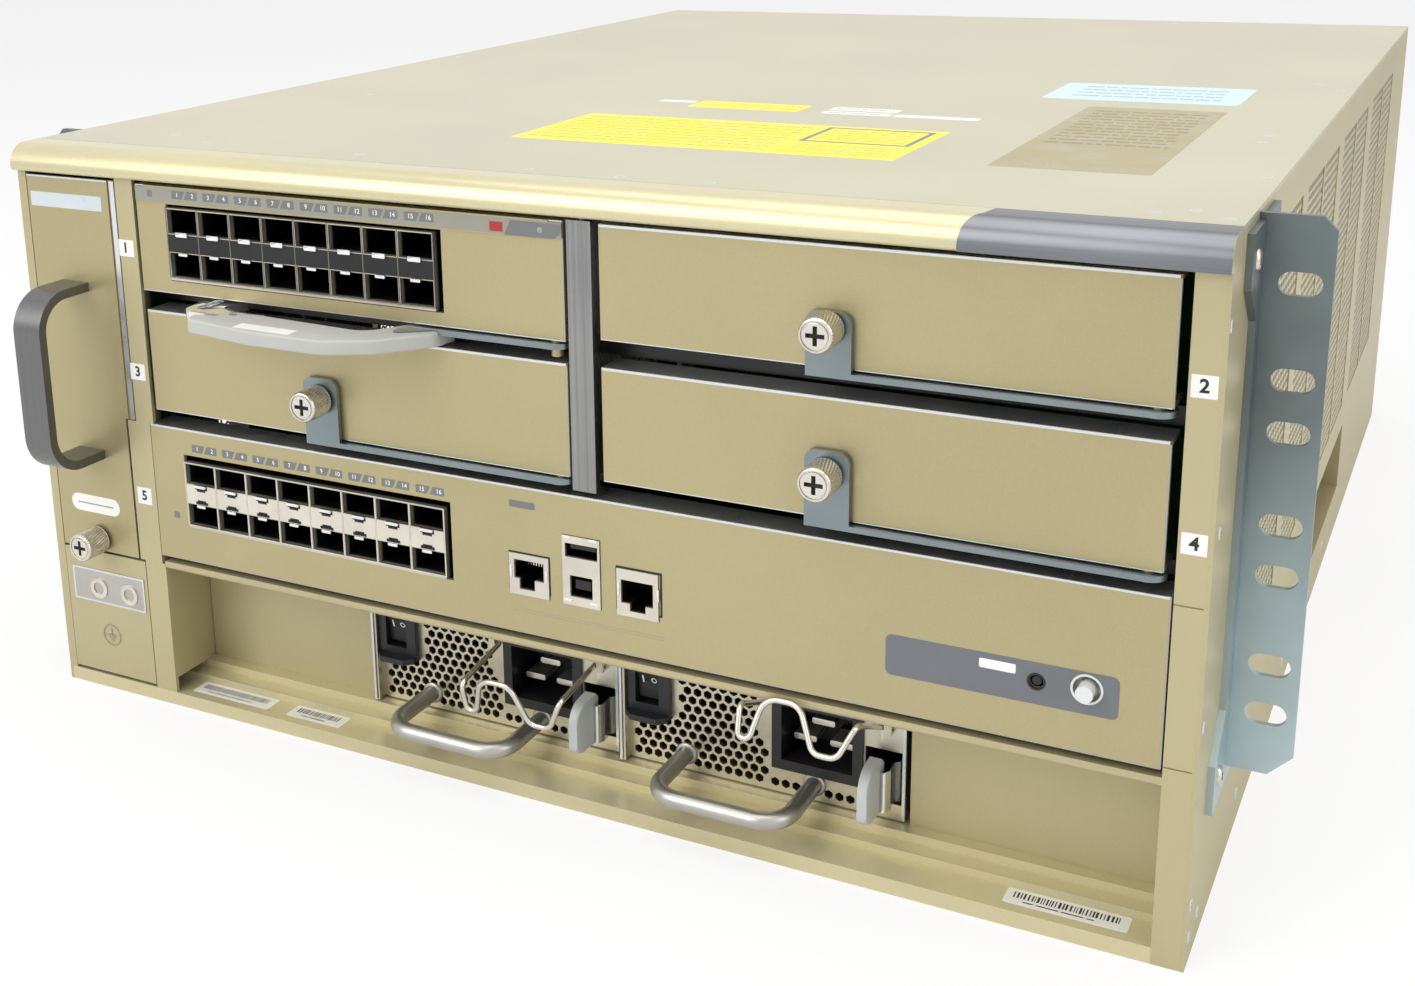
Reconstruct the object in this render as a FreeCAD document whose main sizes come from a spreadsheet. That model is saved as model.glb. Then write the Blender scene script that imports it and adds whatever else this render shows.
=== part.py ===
import FreeCAD, Part
import math
import os
import re
import Sketcher

# A five-unit modular chassis switch, in millimetres.
# X runs across the front from the centre, Y is the depth behind the front plane, Z is up from the
# underside.  Every finished sub-part is then shifted by half the body depth, so that the origin is the
# centre of the underside.

DIMENSIONS = {
    # Chassis shell.
    "body_width": 440.7,
    "body_height": 221.5,
    "body_depth": 581.0,
    "half_width": 220.35,
    "skin": 1.5,
    "inner_half": 218.85,
    "inner_depth": 579.5,
    "inner_height": 220.0,
    "bezel_overhang": 3.2,
    "bezel_depth": 13.0,
    "bezel_low": 211.5,
    "bezel_round": 8.0,
    "bezel_edge": 1.5,
    "cover_front": 13.3,
    "wall_relief": 21.5,
    # Base tray steps, front to back.
    "lip_height": 5.5,
    "step_1_depth": 13.0,
    "step_2_height": 8.2,
    "step_2_depth": 19.0,
    "bay_floor": 11.5,
    "bay_floor_back": 326.0,
    # Side vents and carry pockets.
    "vent_low": 66.0,
    "vent_high": 206.0,
    "vent_1_front": 100.0,
    "vent_1_back": 147.0,
    "vent_2_front": 162.0,
    "vent_2_back": 257.0,
    "vent_3_front": 275.0,
    "vent_3_back": 372.0,
    "vent_4_front": 395.0,
    "vent_4_back": 500.0,
    "vent_rib": 4.0,
    "pocket_front": 285.0,
    "pocket_back": 385.0,
    "pocket_low": 22.0,
    "pocket_high": 53.0,
    "pocket_deep": 22.0,
    "pocket_sheet": 1.0,
    "pocket_margin": 3.0,
    # Rear exhaust slots.
    "rear_slot_low": 15.0,
    "rear_slot_high": 52.0,
    "rear_slot_wide": 8.0,
    "rear_slot_pitch": 16.0,
    "rear_slot_left": -78.0,
    "rear_slots": 13,
    # Card cage.
    "cage_left": -165.0,
    "bay_left": -163.5,
    "cage_right": 210.7,
    "wall_back": 331.0,
    "fan_wall_back": 400.0,
    "midplane_front": 328.0,
    "midplane_high": 208.0,
    # Board connectors and heat sinks.
    "plug_wide": 60.0,
    "plug_deep": 14.0,
    "plug_tall": 16.0,
    "plug_left": -120.0,
    "plug_middle": -30.0,
    "plug_right": 60.0,
    "socket_tall": 18.0,
    "socket_upper": 176.0,
    "socket_middle": 128.0,
    "socket_lower": 79.0,
    "sink_1_left": -70.0,
    "sink_1_right": 0.0,
    "sink_1_front": 120.0,
    "sink_1_back": 190.0,
    "sink_1_tall": 18.0,
    "sink_2_left": 60.0,
    "sink_2_right": 110.0,
    "sink_2_front": 150.0,
    "sink_2_back": 200.0,
    "sink_2_tall": 14.0,
    "sink_3_left": -90.0,
    "sink_3_right": -40.0,
    "sink_3_front": 130.0,
    "sink_3_back": 180.0,
    "sink_3_tall": 16.0,
    "board_inset": 7.5,
    "board_gap": 4.9,
    # Air windows of the cage walls.
    "air_low": 92.0,
    "air_high": 150.0,
    "air_width": 50.0,
    "air_pitch": 62.0,
    "air_front": 22.0,
    "air_columns": 5,
    "air_sill": 5.0,
    "left_post_high": 117.2,
    "left_post_low": 60.0,
    "upper_post_left": -171.7,
    "upper_post_right": -163.2,
    "middle_post_left": -176.0,
    "lower_post_left": -173.6,
    "shelf_front": 2.0,
    "shelf_low": 60.0,
    "shelf_high": 61.4,
    "guide_reach": 10.5,
    "guide_thick": 1.7,
    "guide_gap": 0.3,
    "post_joint_high": 115.0,
    "post_joint_low": 64.5,
    "joint_gap": 0.5,
    "divider_left": 19.2,
    "divider_right": 28.0,
    "divider_low": 119.5,
    "divider_high": 210.5,
    "divider_proud": 0.8,
    "divider_back": 2.0,
    "web_left": 22.8,
    "web_right": 24.4,
    "divider_tip": 10.5,
    "deck_low": 58.6,
    "deck_high": 60.1,
    "deck_lip_low": 58.0,
    "deck_lip_high": 61.3,
    "deck_lip_depth": 4.0,
    "rail_front": 14.0,
    "rail_back": 16.0,
    "upper_rail_low": 163.2,
    "upper_rail_high": 169.0,
    "lower_rail_low": 118.4,
    "lower_rail_high": 122.8,
    # Grounding panel.
    "ground_left": -216.2,
    "ground_right": -174.0,
    "ground_low": 6.8,
    "ground_high": 59.0,
    "pad_left": -213.0,
    "pad_right": -175.6,
    "pad_low": 37.0,
    "pad_high": 51.2,
    "pad_proud": 0.3,
    "lug_left": -199.4,
    "lug_right": -183.525,
    "lug_height": 43.4,
    "lug_hole_r": 2.5,
    "lug_nut_r": 4.8,
    "lug_length": 8.0,
    # Rack brackets.
    "bracket_thick": 2.0,
    "flange_plane": 42.0,
    "flange_edge": 241.3,
    "flange_low": 47.0,
    "flange_high": 220.0,
    "leg_back": 72.0,
    "leg_tip": 20.5,
    "leg_middle": 34.5,
    "leg_low": 41.0,
    "leg_high": 218.0,
    "leg_notch": 16.0,
    "leg_relief": 28.0,
    "flange_corner": 7.0,
    "flange_nick": 4.0,
    "head_r": 3.2,
    "head_high": 1.0,
    "head_inset": 9.0,
    "head_step": 18.0,
    "head_middle": 125.0,
    "slot_x": 232.55,
    "slot_long": 12.0,
    "slot_wide": 7.0,
    "slot_z1": 66.675,
    "slot_z2": 82.55,
    "slot_z3": 111.125,
    "slot_z4": 127.0,
    "slot_z5": 155.575,
    "slot_z6": 171.45,
    "slot_z7": 200.025,
    # Supervisor.
    "sup_left": -164.7,
    "sup_right": 210.2,
    "sup_low": 63.7,
    "sup_high": 117.2,
    "flange_deep": 12.0,
    "sup_board_low": 76.0,
    "sup_board_high": 78.0,
    "board_front": 3.0,
    "board_back": 318.0,
    "sup_cage_left": -149.05,
    "sup_port_pitch": 14.55,
    "sup_cage_right": -32.65,
    "sup_cage_high": 104.2,
    "sup_window_left": -149.3,
    "sup_window_right": -30.0,
    "sup_window_high": 107.0,
    "sup_row_1_low": 79.2,
    "sup_row_1_high": 87.7,
    "sup_row_2_low": 95.7,
    "sup_row_2_high": 103.7,
    "cage_front": -0.4,
    "cage_back": 50.0,
    "cavity_back": 45.0,
    "cage_wall": 0.45,
    "cage_ports": 8,
    # Service jacks: shell, mouth and key slot.
    "jack_front": -0.5,
    "jack_back": 16.0,
    "mgmt_left": -6.8,
    "mgmt_right": 8.7,
    "mgmt_high": 93.0,
    "usb_left": 14.2,
    "usb_right": 28.4,
    "usb_high": 102.8,
    "console_left": 34.6,
    "console_right": 49.9,
    "console_high": 94.6,
    "window_gap": 0.2,
    "window_low": 77.9,
    "jack_deep": 13.5,
    "mgmt_mouth_left": -4.8,
    "mgmt_mouth_right": 6.8,
    "mgmt_mouth_low": 84.0,
    "mgmt_mouth_high": 90.8,
    "mgmt_key_left": -2.8,
    "mgmt_key_right": 3.2,
    "mgmt_key_low": 80.2,
    "console_mouth_left": 36.2,
    "console_mouth_right": 48.0,
    "console_mouth_low": 82.6,
    "console_mouth_high": 90.8,
    "console_key_left": 39.4,
    "console_key_right": 45.2,
    "console_key_low": 80.0,
    "usb_a_left": 15.3,
    "usb_a_right": 27.6,
    "usb_a_low": 95.3,
    "usb_a_high": 100.2,
    "usb_a_tongue": 97.9,
    "usb_b_left": 17.0,
    "usb_b_right": 25.5,
    "usb_b_low": 81.2,
    "usb_b_high": 88.8,
    "usb_b_tongue": 83.6,
    "usb_tongue_inset": 1.3,
    "usb_tongue_back": 1.5,
    "reset_x": 173.6,
    "reset_z": 83.6,
    "reset_hole_r": 2.2,
    "locator_x": 188.3,
    "locator_z": 84.3,
    "locator_hole_r": 4.0,
    "collar_front": 3.2,
    "collar_thick": 1.2,
    "collar_margin": 2.4,
    "reset_stem_r": 1.4,
    "reset_front": 0.6,
    "locator_stem_r": 2.6,
    "locator_front": -4.0,
    "button_back": 6.0,
    # Fan tray.
    "door_left": -216.0,
    "door_gap": 0.4,
    "door_right": -175.5,
    "door_step": -177.0,
    "door_low": 60.0,
    "door_high": 210.0,
    "fold_right": -171.9,
    "fold_low": 117.5,
    "fold_back": 0.6,
    "spine_left": -179.5,
    "spine_right": -178.0,
    "tray_left": -214.0,
    "tray_low": 62.0,
    "tray_high": 208.0,
    "tray_back": 395.0,
    "fan_size": 120.0,
    "fan_thick": 32.0,
    "fan_1_y": 80.0,
    "fan_2_y": 205.0,
    "fan_3_y": 330.0,
    "fan_z": 135.0,
    "fan_pitch": 125.0,
    "fan_count": 3,
    "tray_sheet": 1.2,
    "arm_half": 4.0,
    "arm_root": 24.0,
    "window_reach": 53.0,
    "window_corner": 38.0,
    "fan_bore_r": 57.0,
    "fan_hub_r": 21.0,
    "fan_tip": 55.0,
    "blade_root": 2.0,
    "blade_half": 7.2,
    "blade_front": 1.5,
    "blade_back": 17.0,
    "blade_thick": 2.0,
    "strut_half": 3.0,
    "strut_thick": 2.5,
    "spindle_r": 2.0,
    "spindle_long": 22.0,
    "hub_long": 19.0,
    "hub_lift": 25.0,
    "bearing_r": 2.05,
    "grip_left": -202.5,
    "grip_width": 13.0,
    "grip_low": 99.5,
    "grip_high": 170.0,
    "grip_reach": 27.0,
    "grip_thick": 3.5,
    "grip_round": 15.0,
    "tray_screw_x": -196.0,
    "tray_screw_z": 65.3,
    "tray_knob_tip": -12.0,
    # Port card in slot one.
    "card_left": -161.6,
    "card_right": 17.6,
    "card_low": 169.8,
    "card_high": 209.8,
    "port_left": -147.5,
    "port_right": -28.9,
    "port_sill": 174.6,
    "port_high": 203.2,
    "ledge_low": 203.6,
    "ledge_proud": 0.5,
    "ledge_left": -157.0,
    "ledge_right": 12.4,
    "row_1_low": 176.2,
    "row_1_high": 185.4,
    "row_2_low": 192.5,
    "row_2_high": 201.5,
    "card_cage_left": -147.5,
    "card_cage_right": -31.9,
    "card_port_pitch": 14.45,
    "card_cage_low": 175.0,
    "card_cage_high": 202.0,
    "card_board_low": 173.0,
    "card_board_high": 175.0,
    # Ejector levers.
    "pivot_inset": 4.5,
    "pivot_y": 2.5,
    "eye_r": 5.2,
    "pin_r": 2.0,
    "pin_hole_r": 2.05,
    "card_pin_drop": 5.6,
    "lever_front": -2.5,
    "lever_back": 4.0,
    "lever_gap": 0.6,
    "lever_thick": 1.8,
    "grip_floor": 163.4,
    "grip_tall": 5.2,
    "tongue_right": -36.0,
    "tongue_left": -44.0,
    "tongue_back": -4.0,
    "tongue_tip": -11.0,
    "tongue_heel": -32.0,
    "tongue_round": 1.5,
    "grip_heel": -28.2,
    "grip_heel_back": 6.3,
    "grip_neck": -43.2,
    "grip_neck_back": 4.8,
    "grip_bay": -54.0,
    "grip_bay_front": -11.4,
    "grip_rest": -8.6,
    "grip_step": -115.0,
    "grip_nose_back": -15.0,
    "grip_nose": -125.5,
    "grip_nose_front": -17.2,
    "grip_nose_curl": -121.5,
    "grip_curl_front": -23.0,
    "grip_bow_left": -92.0,
    "grip_bow_right": -60.0,
    "grip_bow_front": -28.2,
    "grip_shoulder": -44.0,
    "grip_shoulder_front": -20.0,
    "grip_heel_tip": -30.5,
    "grip_tip_front": -4.5,
    "grip_bow_round": 16.0,
    "grip_bay_round": 8.0,
    "grip_nose_round": 2.0,
    "grip_slot_right": -27.0,
    "grip_slot_back": 7.0,
    "grip_slot_gap": 0.2,
    "hook_pin_x": -110.0,
    "hook_pin_y": -11.4,
    "hook_pin_r": 1.5,
    "hook_gap": 0.05,
    "hook_floor": 1.5,
    "hook_tall": 3.5,
    "hook_right": -99.0,
    "hook_low": -14.6,
    "hook_elbow": -122.0,
    "hook_left": -132.0,
    "hook_back_low": -13.4,
    "hook_far": -134.5,
    "hook_mid": 1.6,
    "hook_peak": -130.0,
    "hook_top": 8.7,
    "hook_end": -117.6,
    "hook_inner": -120.8,
    "hook_inner_back": -5.0,
    "hook_throat": -113.0,
    "hook_throat_back": -7.6,
    "hook_round": 2.5,
    "hook_eye_left": -129.8,
    "hook_eye_right": -125.2,
    "hook_eye_front": -9.5,
    "hook_eye_back": 3.5,
    "hook_eye_round": 1.8,
    "seat_floor": 1.2,
    "seat_right": -97.0,
    "seat_back": -5.0,
    "seat_front": -15.5,
    "tongue_high": 3.0,
    "tab_width": 14.5,
    "tab_thick": 1.5,
    "tab_inset": 99.2,
    "knob_hole_r": 2.08,
    "knob_shaft_r": 2.0,
    "knob_rim_r": 5.6,
    "knob_tip": -13.5,
    "knob_lift": 0.3,
    "knob_clear_r": 2.6,
    "knob_reach": 4.5,
    "tab_round": 3.5,
    "pin_below": 3.2,
    # Slot blanks: left edge, width, bottom, height, tab top and knob height above the bottom.
    "slot_2_left": 30.5,
    "slot_2_width": 177.1,
    "slot_2_low": 172.0,
    "slot_2_height": 37.8,
    "slot_2_tab": 18.0,
    "slot_2_knob": 13.2,
    "slot_3_left": -160.8,
    "slot_3_width": 178.8,
    "slot_3_low": 123.5,
    "slot_3_height": 39.0,
    "slot_3_tab": 22.5,
    "slot_3_knob": 14.9,
    "slot_4_left": 30.5,
    "slot_4_width": 177.1,
    "slot_4_low": 124.0,
    "slot_4_height": 38.8,
    "slot_4_tab": 22.5,
    "slot_4_knob": 15.2,
    # Power supplies.
    "psu_1_left": -81.5,
    "psu_2_left": 24.0,
    "psu_width": 103.0,
    "psu_low": 12.0,
    "psu_high": 56.5,
    "psu_face": 24.0,
    "psu_face_thick": 1.5,
    "psu_back": 318.0,
    "psu_wall": 1.0,
    "edge_left": 0.2,
    "edge_right": 2.0,
    "edge_proud": 4.0,
    "hex_pitch": 3.85,
    "hex_across": 2.9,
    "low_field_left": 5.2,
    "low_field_right": 53.5,
    "low_field_low": 15.4,
    "low_field_high": 29.0,
    "high_field_left": 22.5,
    "high_field_right": 49.5,
    "high_field_low": 32.08,
    "high_field_high": 46.0,
    "side_field_left": 57.2,
    "side_field_right": 86.0,
    "side_field_low": 15.4,
    "side_field_high": 16.0,
    "inlet_left": 56.3,
    "inlet_right": 88.5,
    "inlet_low": 21.3,
    "inlet_high": 48.0,
    "inlet_front": 22.8,
    "inlet_back": 46.0,
    "inlet_mid": 72.4,
    "mouth_half": 12.6,
    "mouth_low": 25.0,
    "mouth_high": 45.0,
    "mouth_back": 42.0,
    "pin_front": 29.6,
    "pin_level": 30.5,
    "earth_level": 37.5,
    "pin_wide": 8.0,
    "pin_thick": 2.0,
    "pin_off": 2.5,
    "switch_left": 2.4,
    "switch_right": 18.5,
    "switch_low": 31.8,
    "switch_high": 54.0,
    "switch_front": 21.5,
    "switch_back": 40.0,
    "well_left": 5.5,
    "well_right": 14.5,
    "well_low": 35.0,
    "well_high": 51.4,
    "well_floor": 2.0,
    "guard_front": 17.0,
    "guard_back": 23.9,
    "guard_low": 30.0,
    "guard_high": 32.2,
    "guard_slant": 3.0,
    "rocker_left": 5.8,
    "rocker_wide": 8.4,
    "rocker_pin": 2.0,
    "rocker_pin_r": 1.2,
    "rocker_bore_r": 1.25,
    "rocker_play": 0.3,
    "rocker_y": 27.0,
    "rocker_z": 43.2,
    "bail_y": 21.5,
    "bail_z": 46.0,
    "bail_reach": 27.0,
    "bail_wire_r": 1.0,
    "bail_hole_r": 1.05,
    "bail_stub": 3.0,
    "bail_bore": 3.0,
    "bail_dip": 10.5,
    "bail_rise": 3.5,
    "lug_wide": 2.5,
    "lug_half": 2.0,
    "lug_gap": 1.2,
    "bail_left": 56.0,
    "bail_right": 95.5,
    "bail_1_tilt": -9.0,
    "bail_2_tilt": 24.0,
    "rod_r": 3.0,
    "rod_left": 24.0,
    "rod_right": 71.5,
    "rod_z": 18.1,
    "rod_front": -6.0,
    "rod_bend": 10.0,
    "latch_left": 88.5,
    "latch_gap": 0.6,
    "latch_low": 17.5,
    "latch_high": 36.6,
    "latch_pin_x": 97.2,
    "latch_pin_y": 60.0,
    "latch_pin_r": 1.2,
    "latch_bore_r": 1.25,
    "latch_eye_r": 2.6,
    "strip_left": 96.6,
    "strip_right": 97.8,
    "strip_front": 18.0,
    "strip_low": 18.3,
    "strip_high": 31.5,
    "tab_left": 92.3,
    "tab_right": 97.1,
    "tab_front": 5.0,
    "tab_back": 20.0,
    "tab_low": 18.0,
    "tab_high": 36.0,
    "barb_right": 101.0,
    "barb_front": 30.0,
    "barb_back": 36.0,
    "barb_low": 21.0,
    "barb_high": 28.0,
    "blank_left_a": -163.2,
    "blank_right_a": -83.0,
    "blank_left_b": 128.8,
    "blank_right_b": 210.4,
    "blank_high": 57.5,
}
EDGE_SLACK = 1e-3
SIDE_WINDOWS = (("vent_1_front", "vent_1_back"),
                ("vent_2_front", "(vent_2_front + vent_2_back - vent_rib) / 2"),
                ("(vent_2_front + vent_2_back + vent_rib) / 2", "vent_2_back"),
                ("vent_3_front", "(vent_3_front + vent_3_back - vent_rib) / 2"),
                ("(vent_3_front + vent_3_back + vent_rib) / 2", "vent_3_back"),
                ("vent_4_front", "(vent_4_front + vent_4_back - vent_rib) / 2"),
                ("(vent_4_front + vent_4_back + vent_rib) / 2", "vent_4_back"))
RACK_SLOTS = ("slot_z1", "slot_z2", "slot_z3", "slot_z4", "slot_z5", "slot_z6", "slot_z7")
NAME = re.compile(r"[a-z][a-z0-9_]*")
FORWARD = FreeCAD.Rotation(FreeCAD.Vector(1, 0, 0), -90)
ACROSS = FreeCAD.Rotation(FreeCAD.Vector(0, 1, 0), 90)
TURNS = {"x": ACROSS, "y": FORWARD}

doc = FreeCAD.newDocument("ModularChassisSwitch")
sheet = doc.addObject("Spreadsheet::Sheet", "Dims")
for row, (alias, value) in enumerate(DIMENSIONS.items(), start=1):
    sheet.set(f"A{row}", alias)
    sheet.set(f"B{row}", str(value))
    sheet.setAlias(f"B{row}", alias)
doc.recompute()
nodes = []


def bound(text):
    """Turn the names in a formula into references to the sheet."""
    return NAME.sub(lambda hit: "Dims." + hit.group() if hit.group() in DIMENSIONS else hit.group(),
                    str(text))


def value_of(text):
    """Evaluate a formula written with sheet names."""
    return float(sheet.evalExpression(bound(text)))


def block(name, x, y, z):
    """A box between two formulas on each axis."""
    item = doc.addObject("Part::Box", name)
    for size, axis, (low, high) in zip(("Length", "Width", "Height"), "xyz", (x, y, z)):
        item.setExpression(size, bound(f"({high}) - ({low})"))
        item.setExpression("Placement.Base." + axis, bound(low))
    return item


def rod(name, axis, start, length, radius):
    """A cylinder from a start point along one axis."""
    item = doc.addObject("Part::Cylinder", name)
    item.Placement = FreeCAD.Placement(FreeCAD.Vector(), TURNS[axis])
    item.setExpression("Radius", bound(radius))
    item.setExpression("Height", bound(length))
    for letter, text in zip("xyz", start):
        item.setExpression("Placement.Base." + letter, bound(text))
    return item


def fuse(name, *items):
    """One body from several."""
    item = doc.addObject("Part::MultiFuse", name)
    item.Shapes = list(items)
    item.Refine = True
    return item


def bundle(name, *items):
    """Separate solids kept side by side in one sub-part."""
    item = doc.addObject("Part::Compound", name)
    item.Links = list(items)
    return item


def cut(name, base, tool):
    """Base less tool."""
    item = doc.addObject("Part::Cut", name)
    item.Base = base
    item.Tool = tool
    return item


def settle(item, label, x="0", z="0"):
    """Name a finished sub-part and place it in the chassis frame."""
    item.Label = label
    item.setExpression("Placement.Base.x", bound(x))
    item.setExpression("Placement.Base.y", bound("-body_depth / 2"))
    item.setExpression("Placement.Base.z", bound(z))
    nodes.append(item)
    return item


# ---------------------------------------------------------------------------------------------------
# Outlines


def rect(left, right, low, high):
    """Corners of an upright rectangle."""
    return [(left, low), (right, low), (right, high), (left, high)]


def facets(x, y, radius, sides):
    """Corners of a regular polygon about a centre."""
    turns = [360 * side / sides for side in range(sides)]
    return [(f"{x} + {radius} * cos({turn} deg)", f"{y} + {radius} * sin({turn} deg)") for turn in turns]


def origin_item(body, role):
    """One of the body's own planes or axes."""
    return [item for item in body.Origin.OriginFeatures if item.Role == role][0]


def sketch_on(body, role, offset="0"):
    """A sketch on one of the body's own origin planes, moved along its normal."""
    sketch = body.newObject("Sketcher::SketchObject", body.Name + "_outline")
    sketch.AttachmentSupport = [(origin_item(body, role), "")]
    sketch.MapMode = "FlatFace"
    sketch.setExpression("AttachmentOffset.Base.z", bound(offset))
    return sketch


def tie(sketch, index, place, point):
    """Hold one point of the sketch at two formulas."""
    for kind, text in zip(("DistanceX", "DistanceY"), point):
        key = sketch.addConstraint(Sketcher.Constraint(kind, -1, 1, index, place, value_of(text)))
        sketch.setExpression(f"Constraints[{key}]", bound(text))


def size_radius(sketch, index, radius):
    """Hold one radius of the sketch at a formula."""
    key = sketch.addConstraint(Sketcher.Constraint("Radius", index, value_of(radius)))
    sketch.setExpression(f"Constraints[{key}]", bound(radius))


def draw_polygon(sketch, points):
    """A closed outline whose corners follow the sheet."""
    corners = [FreeCAD.Vector(value_of(x), value_of(y), 0) for x, y in points]
    first = sketch.GeometryCount
    count = len(corners)
    for index in range(count):
        line = Part.LineSegment(corners[index], corners[(index + 1) % count])
        sketch.addGeometry(line, False)
    for index, point in enumerate(points):
        after = first + (index + 1) % count
        sketch.addConstraint(Sketcher.Constraint("Coincident", first + index, 2, after, 1))
        tie(sketch, first + index, 1, point)


def draw_circle(sketch, x, y, radius):
    """A circle whose centre and radius follow the sheet."""
    centre = FreeCAD.Vector(value_of(x), value_of(y), 0)
    circle = Part.Circle(centre, FreeCAD.Vector(0, 0, 1), value_of(radius))
    index = sketch.addGeometry(circle, False)
    tie(sketch, index, 3, (x, y))
    size_radius(sketch, index, radius)


def draw_slot(sketch, x, y, long, wide):
    """A level slot with two round ends and two straight sides."""
    reach = f"({long} - {wide}) / 2"
    centres = [(f"{x} - {reach}", y), (f"{x} + {reach}", y)]
    radius = value_of(wide) / 2
    lift = FreeCAD.Vector(0, radius, 0)
    middles = [FreeCAD.Vector(value_of(along), value_of(up), 0) for along, up in centres]
    turns = ((math.pi / 2, 3 * math.pi / 2), (-math.pi / 2, math.pi / 2))
    ends = []
    for middle, (start, stop) in zip(middles, turns):
        circle = Part.Circle(middle, FreeCAD.Vector(0, 0, 1), radius)
        ends.append(sketch.addGeometry(Part.ArcOfCircle(circle, start, stop), False))
    top = sketch.addGeometry(Part.LineSegment(middles[0] + lift, middles[1] + lift), False)
    low = sketch.addGeometry(Part.LineSegment(middles[0] - lift, middles[1] - lift), False)
    meets = ((ends[0], 1, top, 1), (ends[0], 2, low, 1), (ends[1], 2, top, 2), (ends[1], 1, low, 2))
    for meet in meets:
        sketch.addConstraint(Sketcher.Constraint("Tangent", *meet))
    for end, centre in zip(ends, centres):
        tie(sketch, end, 3, centre)
        size_radius(sketch, end, wide + " / 2")


# ---------------------------------------------------------------------------------------------------
# Features


def new_body(name):
    return doc.addObject("PartDesign::Body", name)


def pad(body, sketch, length, midplane=False, flipped=False):
    """Extrude a sketch."""
    feature = body.newObject("PartDesign::Pad", body.Name + "_pad")
    feature.Profile = sketch
    feature.setExpression("Length", bound(length))
    feature.Midplane = midplane
    feature.Reversed = flipped
    doc.recompute()
    return feature


def pocket(body, sketch, length, flipped=False):
    """Remove a sketch's extrusion."""
    feature = body.newObject("PartDesign::Pocket", body.Name + "_pocket")
    feature.Profile = sketch
    feature.setExpression("Length", bound(length))
    feature.Reversed = flipped
    doc.recompute()
    return feature


def add(body, role, offset, outlines, length, flipped=False, midplane=False):
    """Pad one or more outlines, inner ones being left open."""
    sketch = sketch_on(body, role, offset)
    for outline in outlines:
        draw_polygon(sketch, outline)
    return pad(body, sketch, length, midplane, flipped)


def trim(body, role, offset, outlines, length, flipped=False):
    """Pocket one or more outlines."""
    sketch = sketch_on(body, role, offset)
    for outline in outlines:
        draw_polygon(sketch, outline)
    return pocket(body, sketch, length, flipped)


def stud(body, role, offset, centre, radius, length, flipped=False):
    """Pad a round pin."""
    sketch = sketch_on(body, role, offset)
    draw_circle(sketch, centre[0], centre[1], radius)
    return pad(body, sketch, length, flipped=flipped)


def drill(body, role, offset, centres, radius, length, flipped=False):
    """Pocket round holes."""
    sketch = sketch_on(body, role, offset)
    for x, y in centres:
        draw_circle(sketch, x, y, radius)
    return pocket(body, sketch, length, flipped)


def repeat(body, features, axis, pitch, count):
    """Copy features in a straight row."""
    row = body.newObject("PartDesign::LinearPattern", body.Name + "_row")
    row.Originals = features
    row.Direction = (origin_item(body, axis), [""])
    row.setExpression("Length", bound(f"{pitch} * ({count} - 1)"))
    row.setExpression("Occurrences", bound(count))
    body.Tip = row
    doc.recompute()
    return row


def round_edges(body, feature, radius, *wanted):
    """Fillet the straight edges of a feature that any test picks out."""
    names = [f"Edge{number}" for number, edge in enumerate(feature.Shape.Edges, start=1)
             if any(test(edge) for test in wanted)]
    item = body.newObject("PartDesign::Fillet", body.Name + "_round")
    item.Base = (feature, names)
    item.setExpression("Radius", bound(radius))
    doc.recompute()
    return item


def running(axis, first, second):
    """Choose edges that run along one axis at two given coordinates on the other axes."""
    others = [letter for letter in "xyz" if letter != axis]
    targets = [value_of(first), value_of(second)]

    def wanted(edge):
        ends = [vertex.Point for vertex in (edge.Vertexes[0], edge.Vertexes[-1])]
        along = abs(getattr(ends[0], axis) - getattr(ends[1], axis))
        gaps = [abs(getattr(end, letter) - target)
                for end in ends for letter, target in zip(others, targets)]
        return along > EDGE_SLACK and max(gaps) < EDGE_SLACK
    return wanted


def channel(name, left, right, low, high, front="0", depth="flange_deep"):
    """A plate with a folded foot and head, seen from the side and padded across the slot."""
    back = front + " + skin"
    outline = [(front, low), (depth, low), (depth, low + " + skin"), (back, low + " + skin"),
               (back, high + " - skin"), (depth, high + " - skin"), (depth, high), (front, high)]
    body = new_body(name)
    add(body, "YZ_Plane", left, [outline], f"{right} - ({left})")
    return body


# ---------------------------------------------------------------------------------------------------
# Chassis shell


def make_base_tray():
    """Folded floor with the stepped shelf under the power supplies."""
    body = new_body("BaseTray")
    add(body, "YZ_Plane", "0", [[
        ("0", "0"), ("inner_depth", "0"), ("inner_depth", "skin"), ("skin", "skin"),
        ("skin", "lip_height - skin"), ("step_1_depth + skin", "lip_height - skin"),
        ("step_1_depth + skin", "step_2_height - skin"), ("step_2_depth + skin", "step_2_height - skin"),
        ("step_2_depth + skin", "bay_floor - skin"), ("bay_floor_back", "bay_floor - skin"),
        ("bay_floor_back", "bay_floor"), ("step_2_depth", "bay_floor"), ("step_2_depth", "step_2_height"),
        ("step_1_depth", "step_2_height"), ("step_1_depth", "lip_height"), ("0", "lip_height")]],
        "2 * inner_half", midplane=True)
    trim(body, "XY_Plane", "-skin", [rect("cage_right", "half_width", "-skin", "wall_relief")],
         "bay_floor + 2 * skin", flipped=True)
    settle(body, "base_tray")


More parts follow.
